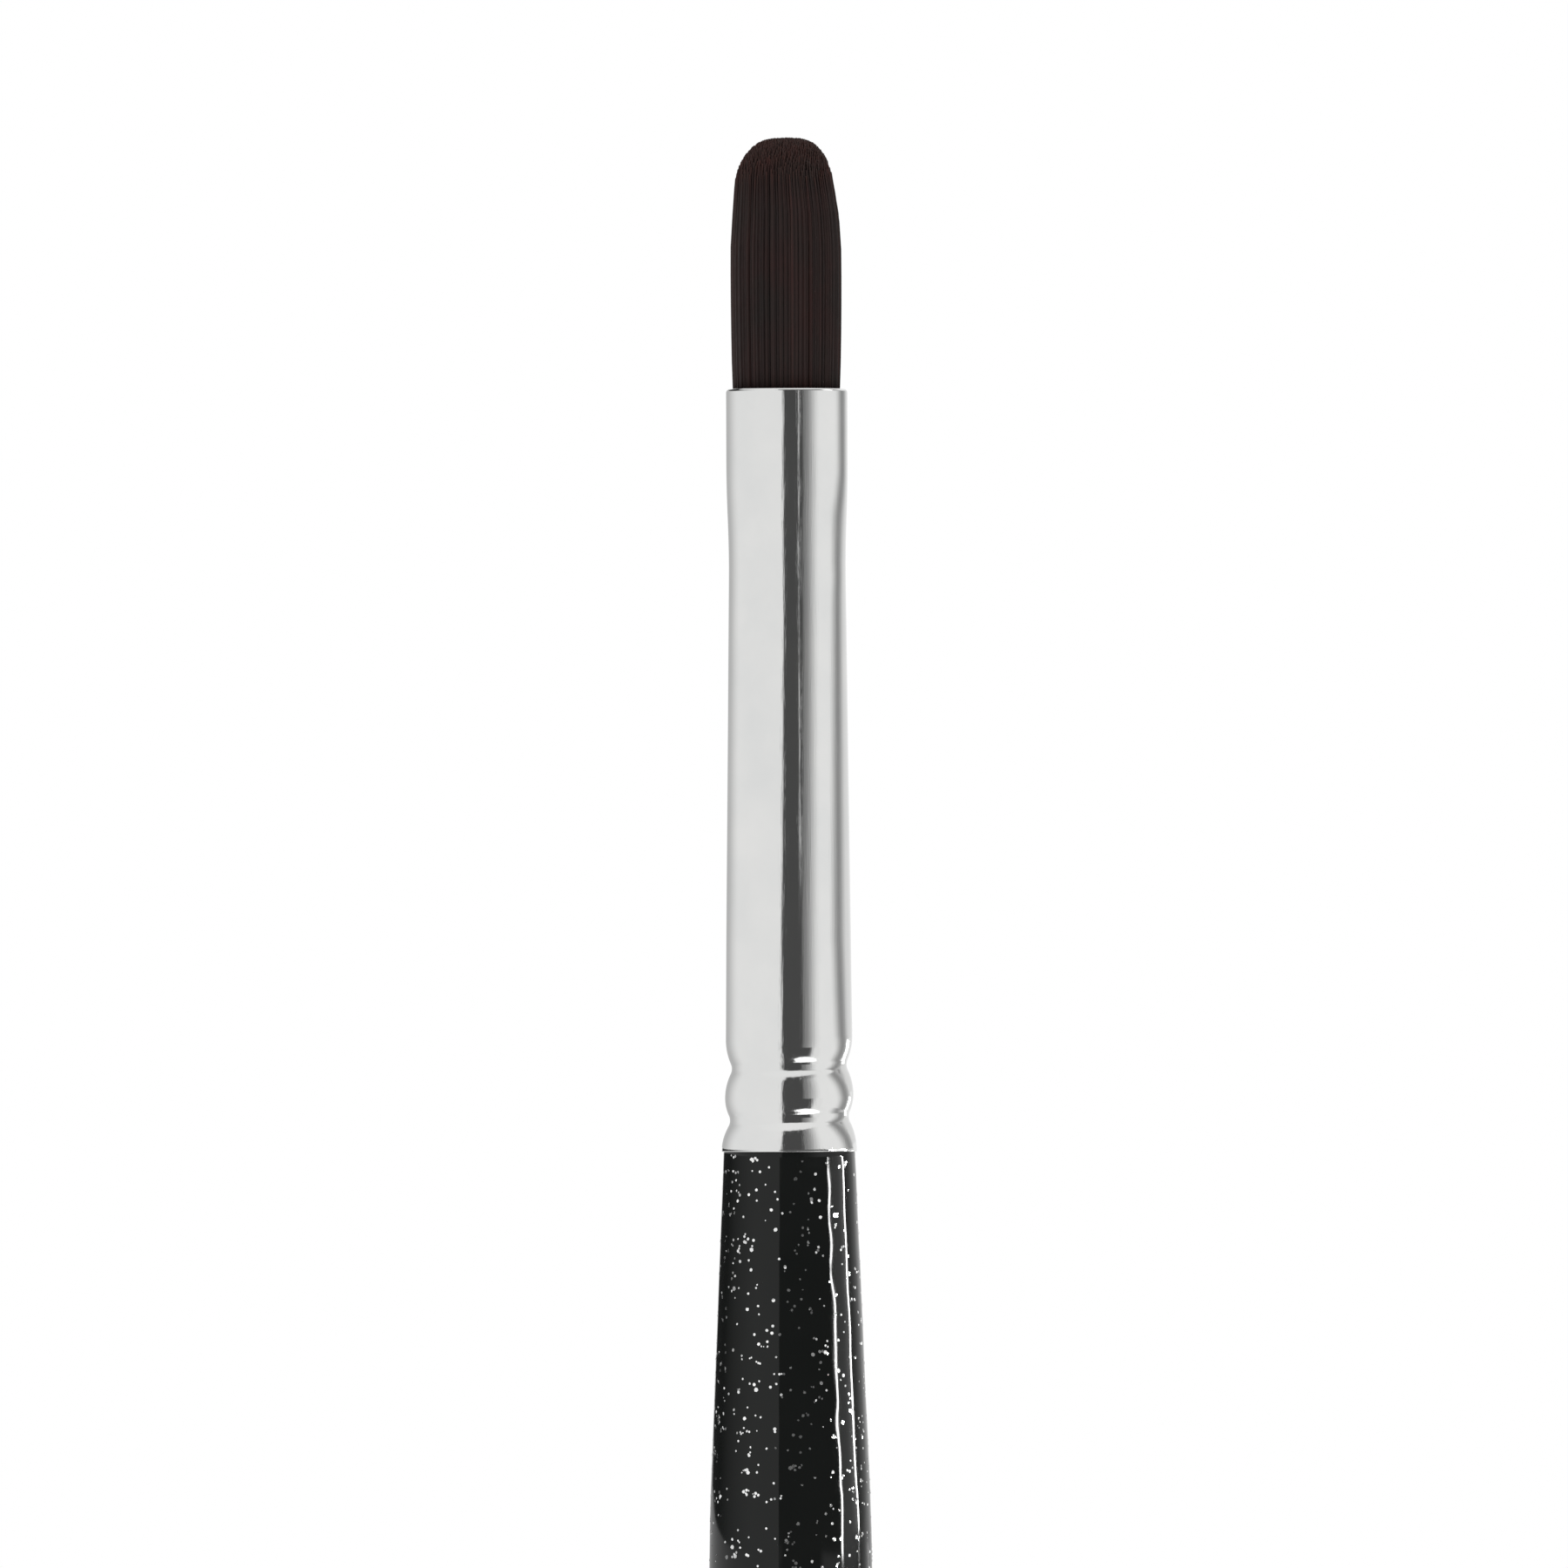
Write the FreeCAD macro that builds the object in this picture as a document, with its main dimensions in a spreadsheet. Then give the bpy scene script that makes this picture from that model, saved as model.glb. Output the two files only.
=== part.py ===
import FreeCAD, Part
import Sketcher
import math
import os

# Round stencil brush. The axis is +Z, the rounded butt of the handle rests on the origin
# and the filaments point up. Millimetres throughout.
#
# The handle is a turned wooden core under two dipped coats. Its tenon is glued into a drawn
# tube, the ferrule, and two rolled crimps lock it there. At the other end the ferrule grips
# a bundle of filaments that is tied with thread and set in epoxy. The free filaments bend
# at the ferrule's mouth, so they are a body of their own, seated in the held ones.

DRIVING_SIZES = [
    # ferrule: outside radii and depths, with heights from its lower rim, from the crimp or
    # bead before, or down from its mouth
    ("ferrule_length", 28.0),
    ("ferrule_wall", 0.25),
    ("mouth_radius", 2.23),
    ("rim_flare", 0.255),
    ("low_crimp_height", 1.22),
    ("low_crimp_depth", 0.296),
    ("bead_rise", 0.81),
    ("bead_depth", 0.125),
    ("high_crimp_rise", 1.09),
    ("high_crimp_depth", 0.367),
    ("crimp_roll", 0.45),
    ("taper_start_depth", 0.158),
    ("taper_start_curve", 2.30),
    ("neck_drop", 6.7),
    ("neck_depth", 0.085),
    ("neck_curve", 50.0),
    ("lip_round", 0.12),
    # handle, from the butt up to the ferrule
    ("handle_length", 138.0),
    ("shoulder_step", 0.065),
    ("belly_swell", 0.59),
    ("belly_drop", 17.2),
    ("belly_curve", 141.0),
    ("butt_radius", 1.85),
    ("colour_coat", 0.10),
    ("glitter_coat", 0.10),
    # what is bonded inside the ferrule
    ("bond_gap", 0.01),
    ("handle_glue_film", 0.04),
    ("tenon_chamfer", 0.40),
    ("air_gap", 3.2),
    ("root_glue_length", 2.8),
    ("meniscus_depth", 0.45),
    ("heel_length", 9.0),
    ("thread_radius", 0.10),
    ("thread_spacing", 0.02),
    ("thread_turns", 4.0),
    ("thread_rise", 1.2),
    # the free filaments, from the ferrule's mouth up
    ("head_length", 9.25),
    ("head_swell", 0.095),
    ("head_belly_drop", 4.75),
    ("head_upper_curve", 21.7),
    ("head_shoulder_curve", 0.80),
    ("head_crown_curve", 2.70),
    ("ball_inset", 0.03),
    ("pivot_rise", 0.83),
    ("cup_gap", 0.05),
    ("cup_rim_drop", 0.05),
]
LINEAR_TOLERANCE = 1e-4
VOLUME_TOLERANCE = 1e-6

doc = FreeCAD.newDocument("round_stencil_brush")
sheet = doc.addObject("Spreadsheet::Sheet", "Sizes")
for row, (alias, value) in enumerate(DRIVING_SIZES, start=1):
    sheet.set(f"A{row}", alias)
    sheet.set(f"B{row}", str(value))
    sheet.setAlias(f"B{row}", alias)
doc.recompute()


class Length:
    """A length together with the spreadsheet expression that drives it."""

    def __init__(self, value, text):
        self.value = value
        self.text = text

    def __add__(self, other):
        return Length(self.value + other.value, f"({self.text} + {other.text})")

    def __sub__(self, other):
        return Length(self.value - other.value, f"({self.text} - {other.text})")

    def times(self, other):
        return Length(self.value * other.value, f"({self.text} * {other.text})")


def size(alias):
    return Length(float(getattr(sheet, alias)), f"Sizes.{alias}")


NOTHING = Length(0.0, "0")
FERRULE_BASE = size("handle_length")
FERRULE_MOUTH = size("handle_length") + size("ferrule_length")

# Outside radii that follow from the ferrule's mouth.
RIM_RADIUS = size("mouth_radius") + size("rim_flare")
NECK_RADIUS = size("mouth_radius") - size("neck_depth")
SHOULDER_RADIUS = RIM_RADIUS - size("shoulder_step")
BELLY_RADIUS = SHOULDER_RADIUS + size("belly_swell")

# Insets of the nested surfaces, from the ferrule's and the handle's outside inwards.
BORE_INSET = size("ferrule_wall")
GLUE_INSET = BORE_INSET + size("bond_gap")
TENON_INSET = GLUE_INSET + size("handle_glue_film") + size("bond_gap")
COLOUR_INSET = size("glitter_coat")
WOOD_INSET = COLOUR_INSET + size("colour_coat")

# Heights above the ferrule's lower rim of what lies inside it, from its mouth down.
HEEL_FOOT = size("ferrule_length") - size("heel_length")
PLUG_FOOT = HEEL_FOOT - size("root_glue_length")
TENON_END = PLUG_FOOT - size("air_gap")
OVER_MOUTH = size("ferrule_length") + size("lip_round")
UNDER_RIM = NOTHING - size("lip_round")

# The thread is wound just inside the ferrule's neck.
THREAD_PATH_RADIUS = NECK_RADIUS - GLUE_INSET - size("bond_gap") - size("thread_radius")
THREAD_PITCH = size("thread_radius") + size("thread_radius") + size("thread_spacing")
THREAD_WOUND = THREAD_PITCH.times(size("thread_turns"))
THREAD_START = HEEL_FOOT + size("thread_rise")

# The free filaments turn in the held ones like a ball in a cup.
BALL_RADIUS = size("mouth_radius") - BORE_INSET - size("ball_inset")

START, END, CENTRE = 1, 2, 3
ORIGIN_POINT = (-1, START)
RADIAL_AXIS, TURNING_AXIS = -1, -2


def new_body(label):
    body = doc.addObject("PartDesign::Body", label)
    body.Label = label
    return body


def upright_sketch(body, name, base):
    """A sketch on the body's own XZ plane: x is the radius and y the height above base."""
    sketch = body.newObject("Sketcher::SketchObject", name)
    plane = next(f for f in body.Origin.OriginFeatures if f.Role == "XZ_Plane")
    sketch.AttachmentSupport = (plane, [""])
    sketch.MapMode = "FlatFace"
    sketch.setExpression("AttachmentOffset.Base.y", base.text)
    return sketch


def drive(sketch, kind, references, length):
    """Adds a dimension that follows its spreadsheet expression."""
    index = sketch.addConstraint(Sketcher.Constraint(kind, *references, length.value))
    sketch.setExpression(f"Constraints[{index}]", length.text)


class HalfSection:
    """The closed half-section of a turned piece.

    Edges are added in order round the outline. Each one joins the one before, either at a
    corner or smoothly. They are drawn where they should end up, and the constraints, whose
    sizes all come from the spreadsheet, hold them there.
    """

    def __init__(self, body, name, base=NOTHING):
        self.sketch = upright_sketch(body, name, base)
        self.edges = []

    def _join(self, index, entry, leave, smooth):
        if self.edges:
            kind = "Tangent" if smooth else "Coincident"
            before, _, exit_point = self.edges[-1]
            self.sketch.addConstraint(
                Sketcher.Constraint(kind, before, exit_point, index, entry)
            )
        self.edges.append((index, entry, leave))
        return index

    def line(self, start, end, smooth=False):
        edge = Part.LineSegment(FreeCAD.Vector(*start, 0), FreeCAD.Vector(*end, 0))
        return self._join(self.sketch.addGeometry(edge), START, END, smooth)

    def _circle(self, centre, radius):
        return Part.Circle(FreeCAD.Vector(*centre, 0), FreeCAD.Vector(0, 0, 1), radius)

    def swell(self, centre, radius, low, high, smooth=True):
        """An arc that bulges outwards. low and high are its lift angles in radians."""
        arc = Part.ArcOfCircle(self._circle(centre, radius), low, high)
        return self._join(self.sketch.addGeometry(arc), START, END, smooth)

    def hollow(self, centre, radius, low, high, smooth=True):
        """An arc that curves inwards, centred outside the outline."""
        arc = Part.ArcOfCircle(
            self._circle(centre, radius), math.pi - high, math.pi - low
        )
        return self._join(self.sketch.addGeometry(arc), END, START, smooth)

    def close(self):
        first, entry, _ = self.edges[0]
        last, _, leave = self.edges[-1]
        self.add("Coincident", last, leave, first, entry)

    def add(self, kind, *references):
        return self.sketch.addConstraint(Sketcher.Constraint(kind, *references))

    def radius(self, edge, length):
        drive(self.sketch, "Radius", (edge,), length)

    def place(self, edge, point, across=None, up=None):
        if across is not None:
            drive(self.sketch, "DistanceX", (*ORIGIN_POINT, edge, point), across)
        if up is not None:
            drive(self.sketch, "DistanceY", (*ORIGIN_POINT, edge, point), up)

    def crest(self, edge, across):
        """Holds the widest point of a swelling arc at a radius."""
        arc = self.sketch.Geometry[edge]
        point = FreeCAD.Vector(across.value, arc.Center.y, 0)
        index = self.sketch.addGeometry(Part.Point(point), True)
        self.add("PointOnObject", index, START, edge)
        self.add("Horizontal", index, START, edge, CENTRE)
        self.place(index, START, across=across)

    def check(self):
        if self.sketch.solve() != 0 or not self.sketch.FullyConstrained:
            raise RuntimeError(f"{self.sketch.Name} isn't fully constrained")


def revolve(body, section, feature, name):
    """Turns a half-section round the axis, as an added (Revolution) or cut (Groove) feature."""
    section.close()
    before = body.Tip.Shape.Volume if feature == "Groove" else None
    turned = body.newObject(f"PartDesign::{feature}", name)
    turned.Profile = section.sketch
    turned.ReferenceAxis = (section.sketch, ["V_Axis"])
    turned.Angle = 360
    body.Tip = turned
    doc.recompute()
    section.check()
    if before is not None and turned.Shape.Volume > before - VOLUME_TOLERANCE:
        raise RuntimeError(f"{name} cut nothing")


def handle_section(body, name, inset):
    """The outside of the handle, moved inwards by inset: butt, long taper, belly and neck."""
    butt = size("butt_radius")
    belly_height = size("handle_length") - size("belly_drop")
    belly_centre = BELLY_RADIUS - size("belly_curve")
    top = size("handle_length")
    taper_rise = belly_height.value - butt.value
    taper_lean = (BELLY_RADIUS.value - butt.value) / taper_rise
    neck_lean = size("belly_swell").value / size("belly_drop").value

    section = HalfSection(body, name)
    butt_r = butt.value - inset.value
    curve_r = size("belly_curve").value - inset.value
    shoulder_r = SHOULDER_RADIUS.value - inset.value
    low_joint = (
        belly_centre.value + curve_r * math.cos(taper_lean),
        belly_height.value - curve_r * math.sin(taper_lean),
    )
    high_joint = (
        belly_centre.value + curve_r * math.cos(neck_lean),
        belly_height.value + curve_r * math.sin(neck_lean),
    )
    dome = section.swell((0, butt.value), butt_r, -math.pi / 2, 0, smooth=False)
    section.line((butt_r, butt.value), low_joint, smooth=True)
    belly = section.swell(
        (belly_centre.value, belly_height.value), curve_r, -taper_lean, neck_lean
    )
    neck = section.line(high_joint, (shoulder_r, top.value), smooth=True)
    lid = section.line((shoulder_r, top.value), (0, top.value))
    section.line((0, top.value), (0, butt.value - butt_r))

    section.add("PointOnObject", dome, CENTRE, TURNING_AXIS)
    section.add("PointOnObject", dome, START, TURNING_AXIS)
    section.place(dome, CENTRE, up=butt)
    section.radius(dome, butt - inset)
    section.place(belly, CENTRE, across=belly_centre, up=belly_height)
    section.radius(belly, size("belly_curve") - inset)
    section.place(neck, END, across=SHOULDER_RADIUS - inset, up=top)
    section.add("Horizontal", lid)
    section.add("PointOnObject", lid, END, TURNING_AXIS)
    return section


def ferrule_section(body, name, inset):
    """The outside of the ferrule, moved inwards by inset, from its lower rim to its mouth.

    Rim, low crimp, bead between the crimps, high crimp, shoulder, long taper, swaged neck,
    flare and the straight land at the mouth. All the curves are tangent arcs.
    """
    rolled = size("crimp_roll")
    low_height = size("low_crimp_height")
    bead_height = low_height + size("bead_rise")
    high_height = bead_height + size("high_crimp_rise")
    low_centre = RIM_RADIUS - size("low_crimp_depth") + rolled
    high_centre = RIM_RADIUS - size("high_crimp_depth") + rolled
    bead_radius = RIM_RADIUS - size("bead_depth")
    taper_radius = RIM_RADIUS - size("taper_start_depth")
    neck_height = size("ferrule_length") - size("neck_drop")
    neck_centre = NECK_RADIUS + size("neck_curve")
    top = size("ferrule_length")
    move = inset.value

    def swell_beside(crest, hollow_centre, hollow_height, base):
        """The radius of an arc centred at height base, tangent to a crimp and crest wide."""
        apart = hollow_height - base
        gap = hollow_centre - crest
        return (apart**2 + gap**2 - rolled.value**2) / (2 * (rolled.value - gap))

    section = HalfSection(body, name, FERRULE_BASE)
    rim_r, bead_r, bead_h = RIM_RADIUS.value, bead_radius.value, bead_height.value
    shoulder_r = taper_radius.value
    rim_curve = swell_beside(rim_r, low_centre.value, low_height.value, 0)
    under_curve = swell_beside(bead_r, low_centre.value, low_height.value, bead_h)
    over_curve = swell_beside(bead_r, high_centre.value, high_height.value, bead_h)
    shoulder_curve = size("taper_start_curve").value
    reach = shoulder_curve + rolled.value
    run = high_centre.value - (shoulder_r - shoulder_curve)
    shoulder_height = high_height.value + math.sqrt(reach**2 - run**2)
    neck_r = NECK_RADIUS.value
    land_r = size("mouth_radius").value
    double_curve = 2 * size("neck_curve").value
    flare_run = math.sqrt(double_curve**2 - (double_curve - land_r + neck_r) ** 2)
    land_start = neck_height.value + flare_run
    flare_lift = math.asin(flare_run / double_curve)
    taper_lean = (shoulder_r - neck_r) / (neck_height.value - shoulder_height)

    def lift(height_a, height_b, curves):
        return math.asin((height_b - height_a) / curves)

    rim_lift = lift(0, low_height.value, rim_curve + rolled.value)
    under_lift = lift(low_height.value, bead_h, under_curve + rolled.value)
    over_lift = lift(bead_h, high_height.value, over_curve + rolled.value)
    shoulder_lift = lift(high_height.value, shoulder_height, reach)

    foot = section.line((0, 0), (rim_r - move, 0))
    rim = section.swell(
        (rim_r - rim_curve, 0), rim_curve - move, 0, rim_lift, smooth=False
    )
    low = section.hollow(
        (low_centre.value, low_height.value), rolled.value + move, -rim_lift, under_lift
    )
    bead = section.swell(
        (bead_r - under_curve, bead_h), under_curve - move, -under_lift, 0
    )
    section.swell((bead_r - over_curve, bead_h), over_curve - move, 0, over_lift)
    high = section.hollow(
        (high_centre.value, high_height.value),
        rolled.value + move,
        -over_lift,
        shoulder_lift,
    )
    shoulder = section.swell(
        (shoulder_r - shoulder_curve, shoulder_height),
        shoulder_curve - move,
        -shoulder_lift,
        taper_lean,
    )
    section.line(
        (shoulder_r - move, shoulder_height),
        (neck_r - move, neck_height.value),
        smooth=True,
    )
    neck = section.hollow(
        (neck_centre.value, neck_height.value),
        size("neck_curve").value + move,
        -taper_lean,
        flare_lift,
    )
    flare = section.swell(
        (land_r - size("neck_curve").value, land_start),
        size("neck_curve").value - move,
        -flare_lift,
        0,
    )
    land = section.line(
        (land_r - move, land_start), (land_r - move, top.value), smooth=True
    )
    lid = section.line((land_r - move, top.value), (0, top.value))
    section.line((0, top.value), (0, 0))

    section.add("Coincident", foot, START, *ORIGIN_POINT)
    section.add("Horizontal", foot)
    section.place(foot, END, across=RIM_RADIUS - inset)
    section.add("PointOnObject", rim, CENTRE, RADIAL_AXIS)
    section.place(low, CENTRE, across=low_centre, up=low_height)
    section.radius(low, rolled + inset)
    section.place(bead, CENTRE, up=bead_height)
    section.place(bead, END, across=bead_radius - inset, up=bead_height)
    section.place(high, CENTRE, across=high_centre, up=high_height)
    section.radius(high, rolled + inset)
    section.crest(shoulder, taper_radius - inset)
    section.radius(shoulder, size("taper_start_curve") - inset)
    section.place(neck, CENTRE, across=neck_centre, up=neck_height)
    section.radius(neck, size("neck_curve") + inset)
    section.radius(flare, size("neck_curve") - inset)
    section.add("Vertical", land)
    section.place(land, END, across=size("mouth_radius") - inset, up=top)
    section.add("Horizontal", lid)
    section.add("PointOnObject", lid, END, TURNING_AXIS)
    return section


def band_section(body, name, low, high, inner=NOTHING):
    """A rectangle from inner out past the ferrule, between two heights above its lower rim."""
    outer = RIM_RADIUS
    section = HalfSection(body, name, FERRULE_BASE)
    foot = [(inner.value, low.value), (outer.value, low.value)]
    top = [(outer.value, high.value), (inner.value, high.value)]
    corners = foot + top
    sides = [section.line(a, b) for a, b in zip(corners, corners[1:] + corners[:1])]
    for index, side in enumerate(sides):
        section.add("Vertical" if index % 2 else "Horizontal", side)
    section.place(sides[0], START, across=inner, up=low)
    section.place(sides[1], END, across=outer, up=high)
    return section


def rims_at(shape, height):
    """The name and radius of each circular edge at a height."""
    return [
        (f"Edge{number}", edge.Curve.Radius)
        for number, edge in enumerate(shape.Edges, start=1)
        if not edge.Degenerated
        and isinstance(edge.Curve, Part.Circle)
        and abs(edge.Curve.Center.z - height) < LINEAR_TOLERANCE
    ]


def dress(body, feature, name, height, pick, driven, length):
    """A Fillet or Chamfer on the widest or narrowest rim at a height, which pick chooses."""
    base = body.Tip
    rim, _ = pick(rims_at(base.Shape, height), key=lambda found: found[1])
    dressed = body.newObject(f"PartDesign::{feature}", name)
    dressed.Base = (base, [rim])
    dressed.setExpression(driven, length.text)
    body.Tip = dressed
    doc.recompute()


def make_handle_core():
    """Turned hardwood: the handle under its coats, and the tenon with both crimps pressed in."""
    body = new_body("handle_core")
    revolve(body, handle_section(body, "shaft_outline", WOOD_INSET), "Revolution", "shaft")
    revolve(body, ferrule_section(body, "tenon_outline", TENON_INSET), "Revolution", "tenon")
    above = band_section(body, "tenon_end_outline", TENON_END, OVER_MOUTH)
    revolve(body, above, "Groove", "tenon_end")
    end_height = (FERRULE_BASE + TENON_END).value
    dress(body, "Chamfer", "tenon_edge", end_height, max, "Size", size("tenon_chamfer"))


def make_coat(label, outside, inside):
    """One dipped coat: the skin between two insets of the handle's outline."""
    body = new_body(label)
    revolve(body, handle_section(body, f"{label}_outside", outside), "Revolution", f"{label}_skin")
    revolve(body, handle_section(body, f"{label}_inside", inside), "Groove", f"{label}_hollow")


def make_ferrule():
    """A drawn tube of even wall, crimped twice over the tenon, with a rounded mouth."""
    body = new_body("ferrule")
    revolve(body, ferrule_section(body, "tube_outside", NOTHING), "Revolution", "tube")
    revolve(body, ferrule_section(body, "tube_inside", BORE_INSET), "Groove", "bore")
    mouth = FERRULE_MOUTH.value
    dress(body, "Fillet", "outer_lip", mouth, max, "Radius", size("lip_round"))
    inner_round = size("ferrule_wall") - size("lip_round") - size("bond_gap")
    dress(body, "Fillet", "inner_lip", mouth, min, "Radius", inner_round)


def make_handle_glue():
    """The thin film of adhesive between the tenon and the ferrule."""
    body = new_body("handle_glue")
    outside = ferrule_section(body, "film_outside", GLUE_INSET)
    revolve(body, outside, "Revolution", "film")
    inside = ferrule_section(body, "film_inside", TENON_INSET - size("bond_gap"))
    revolve(body, inside, "Groove", "film_hollow")
    film_end = TENON_END - size("tenon_chamfer")
    above = band_section(body, "film_end_outline", film_end, OVER_MOUTH)
    revolve(body, above, "Groove", "film_end")


def make_root_glue():
    """The epoxy plug that sets the filaments' roots, with a dished lower face."""
    body = new_body("root_glue")
    revolve(body, ferrule_section(body, "plug_outline", GLUE_INSET), "Revolution", "plug")
    plug_top = HEEL_FOOT - size("bond_gap")
    above = band_section(body, "plug_top_outline", plug_top, OVER_MOUTH)
    revolve(body, above, "Groove", "plug_top")
    below = band_section(body, "plug_foot_outline", UNDER_RIM, PLUG_FOOT)
    revolve(body, below, "Groove", "plug_foot")

    depth = size("meniscus_depth").value
    rim = NECK_RADIUS - BORE_INSET
    width = rim.value
    curve = (width**2 + depth**2) / (2 * depth)
    dish = HalfSection(body, "meniscus_outline", FERRULE_BASE)
    peak = PLUG_FOOT.value + depth
    base = dish.line((0, PLUG_FOOT.value), (width, PLUG_FOOT.value))
    arc = dish.swell(
        (0, peak - curve), curve, math.asin(1 - depth / curve), math.pi / 2, smooth=False
    )
    dish.line((0, peak), (0, PLUG_FOOT.value))
    dish.add("Horizontal", base)
    dish.add("PointOnObject", base, START, TURNING_AXIS)
    dish.place(base, END, across=rim, up=PLUG_FOOT)
    dish.add("PointOnObject", arc, CENTRE, TURNING_AXIS)
    dish.add("PointOnObject", arc, END, TURNING_AXIS)
    dish.place(arc, END, up=PLUG_FOOT + size("meniscus_depth"))
    revolve(body, dish, "Groove", "meniscus")


def make_filament_heel():
    """The held length of the filament bundle: its roots, its tied waist and the seat of the
    free length."""
    body = new_body("filament_heel")
    revolve(body, ferrule_section(body, "heel_outline", GLUE_INSET), "Revolution", "heel")
    below = band_section(body, "heel_foot_outline", UNDER_RIM, HEEL_FOOT)
    revolve(body, below, "Groove", "heel_foot")

    side = size("thread_radius") + size("bond_gap")
    low, high = THREAD_START - side, THREAD_START + THREAD_WOUND + side
    waist = band_section(body, "waist_outline", low, high, inner=THREAD_PATH_RADIUS - side)
    revolve(body, waist, "Groove", "waist")

    rim, over = size("ferrule_length") - size("cup_rim_drop"), OVER_MOUTH
    pivot = size("ferrule_length") + size("pivot_rise")
    cup_r, outer = BALL_RADIUS + size("cup_gap"), RIM_RADIUS
    sink = math.asin((rim.value - pivot.value) / cup_r.value)
    rim_x = cup_r.value * math.cos(sink)
    cup = HalfSection(body, "cup_outline", FERRULE_BASE)
    arc = cup.swell((0, pivot.value), cup_r.value, -math.pi / 2, sink, smooth=False)
    ledge = cup.line((rim_x, rim.value), (outer.value, rim.value))
    wall = cup.line((outer.value, rim.value), (outer.value, over.value))
    lid = cup.line((outer.value, over.value), (0, over.value))
    cup.line((0, over.value), (0, pivot.value - cup_r.value))
    cup.add("PointOnObject", arc, CENTRE, TURNING_AXIS)
    cup.add("PointOnObject", arc, START, TURNING_AXIS)
    cup.place(arc, CENTRE, up=pivot)
    cup.radius(arc, cup_r)
    cup.place(arc, END, up=rim)
    cup.add("Horizontal", ledge)
    cup.add("Vertical", wall)
    cup.place(wall, END, across=outer, up=over)
    cup.add("Horizontal", lid)
    cup.add("PointOnObject", lid, END, TURNING_AXIS)
    revolve(body, cup, "Groove", "cup")


def make_binding_thread():
    """The thread wound round the bundle's waist, as one helix."""
    body = new_body("binding_thread")
    sketch = upright_sketch(body, "thread_circle", FERRULE_BASE)
    centre = FreeCAD.Vector(THREAD_PATH_RADIUS.value, THREAD_START.value, 0)
    circle = Part.Circle(centre, FreeCAD.Vector(0, 0, 1), size("thread_radius").value)
    index = sketch.addGeometry(circle)
    drive(sketch, "Radius", (index,), size("thread_radius"))
    drive(sketch, "DistanceX", (*ORIGIN_POINT, index, CENTRE), THREAD_PATH_RADIUS)
    drive(sketch, "DistanceY", (*ORIGIN_POINT, index, CENTRE), THREAD_START)
    doc.recompute()
    helix = body.newObject("PartDesign::AdditiveHelix", "thread_turns_wound")
    helix.Profile = sketch
    helix.ReferenceAxis = (sketch, ["V_Axis"])
    helix.Mode = "pitch-height-angle"
    helix.setExpression("Pitch", THREAD_PITCH.text)
    helix.setExpression("Height", THREAD_WOUND.text)
    body.Tip = helix
    doc.recompute()


def make_filament_head():
    """The free length of the bundle: a ball-shaped seat, a slight belly and a domed end."""
    body = new_body("filament_head")
    pivot = size("pivot_rise")
    ball = BALL_RADIUS
    belly_r = size("mouth_radius") - BORE_INSET + size("head_swell")
    belly_h = size("head_length") - size("head_belly_drop")
    upper = size("head_upper_curve")
    turn = size("head_shoulder_curve")
    crown = size("head_crown_curve")
    top = size("head_length")

    rise = belly_h.value - pivot.value
    swell = belly_r.value - ball.value
    lower_curve = (rise**2 + swell**2) / (2 * swell)
    crown_height = top.value - crown.value
    # The shoulder arc touches the upper side arc and the crown arc from inside, so its centre
    # is (upper - turn) from the one centre and (crown - turn) from the other. Of the two
    # places where that holds, it takes the higher.
    side_x = belly_r.value - upper.value
    side_y = belly_h.value - crown_height
    apart = math.hypot(side_x, side_y)
    to_side, to_crown = upper.value - turn.value, crown.value - turn.value
    along = (to_crown**2 - to_side**2 + apart**2) / (2 * apart)
    off = math.sqrt(to_crown**2 - along**2)
    turn_x = (along * side_x + off * side_y) / apart
    turn_y = crown_height + (along * side_y - off * side_x) / apart
    side_lift = math.atan2(turn_y - belly_h.value, turn_x - side_x)
    crown_lift = math.atan2(turn_y - crown_height, turn_x)

    section = HalfSection(body, "head_outline", FERRULE_MOUTH)
    seat = section.swell((0, pivot.value), ball.value, -math.pi / 2, 0, smooth=False)
    low = section.swell(
        (belly_r.value - lower_curve, belly_h.value),
        lower_curve,
        -math.asin(rise / lower_curve),
        0,
        smooth=False,
    )
    high = section.swell((side_x, belly_h.value), upper.value, 0, side_lift)
    edge = section.swell((turn_x, turn_y), turn.value, side_lift, crown_lift)
    dome = section.swell((0, crown_height), crown.value, crown_lift, math.pi / 2)
    section.line((0, top.value), (0, pivot.value - ball.value))

    section.add("PointOnObject", seat, CENTRE, TURNING_AXIS)
    section.add("PointOnObject", seat, START, TURNING_AXIS)
    section.place(seat, CENTRE, up=pivot)
    section.place(seat, END, across=ball, up=pivot)
    section.place(low, END, across=belly_r, up=belly_h)
    section.place(low, CENTRE, up=belly_h)
    section.radius(high, upper)
    section.radius(edge, turn)
    section.add("PointOnObject", dome, CENTRE, TURNING_AXIS)
    section.add("PointOnObject", dome, END, TURNING_AXIS)
    section.place(dome, END, up=top)
    section.radius(dome, crown)
    revolve(body, section, "Revolution", "head")


def faults():
    """Every failed object and every sub-part without one sound solid."""
    found = [o.Label for o in doc.Objects if {"Invalid", "Error"} & set(o.State)]
    for body in doc.findObjects("PartDesign::Body"):
        shape = body.Shape
        if shape.isNull() or not shape.isValid() or len(shape.Solids) != 1:
            found.append(body.Label)
    return found


make_handle_core()
make_coat("colour_lacquer", COLOUR_INSET, WOOD_INSET)
make_coat("glitter_lacquer", NOTHING, COLOUR_INSET)
make_ferrule()
make_handle_glue()
make_root_glue()
make_filament_heel()
make_binding_thread()
make_filament_head()
doc.recompute()

bad = faults()
if bad:
    raise RuntimeError(f"these objects failed: {bad}")

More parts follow.
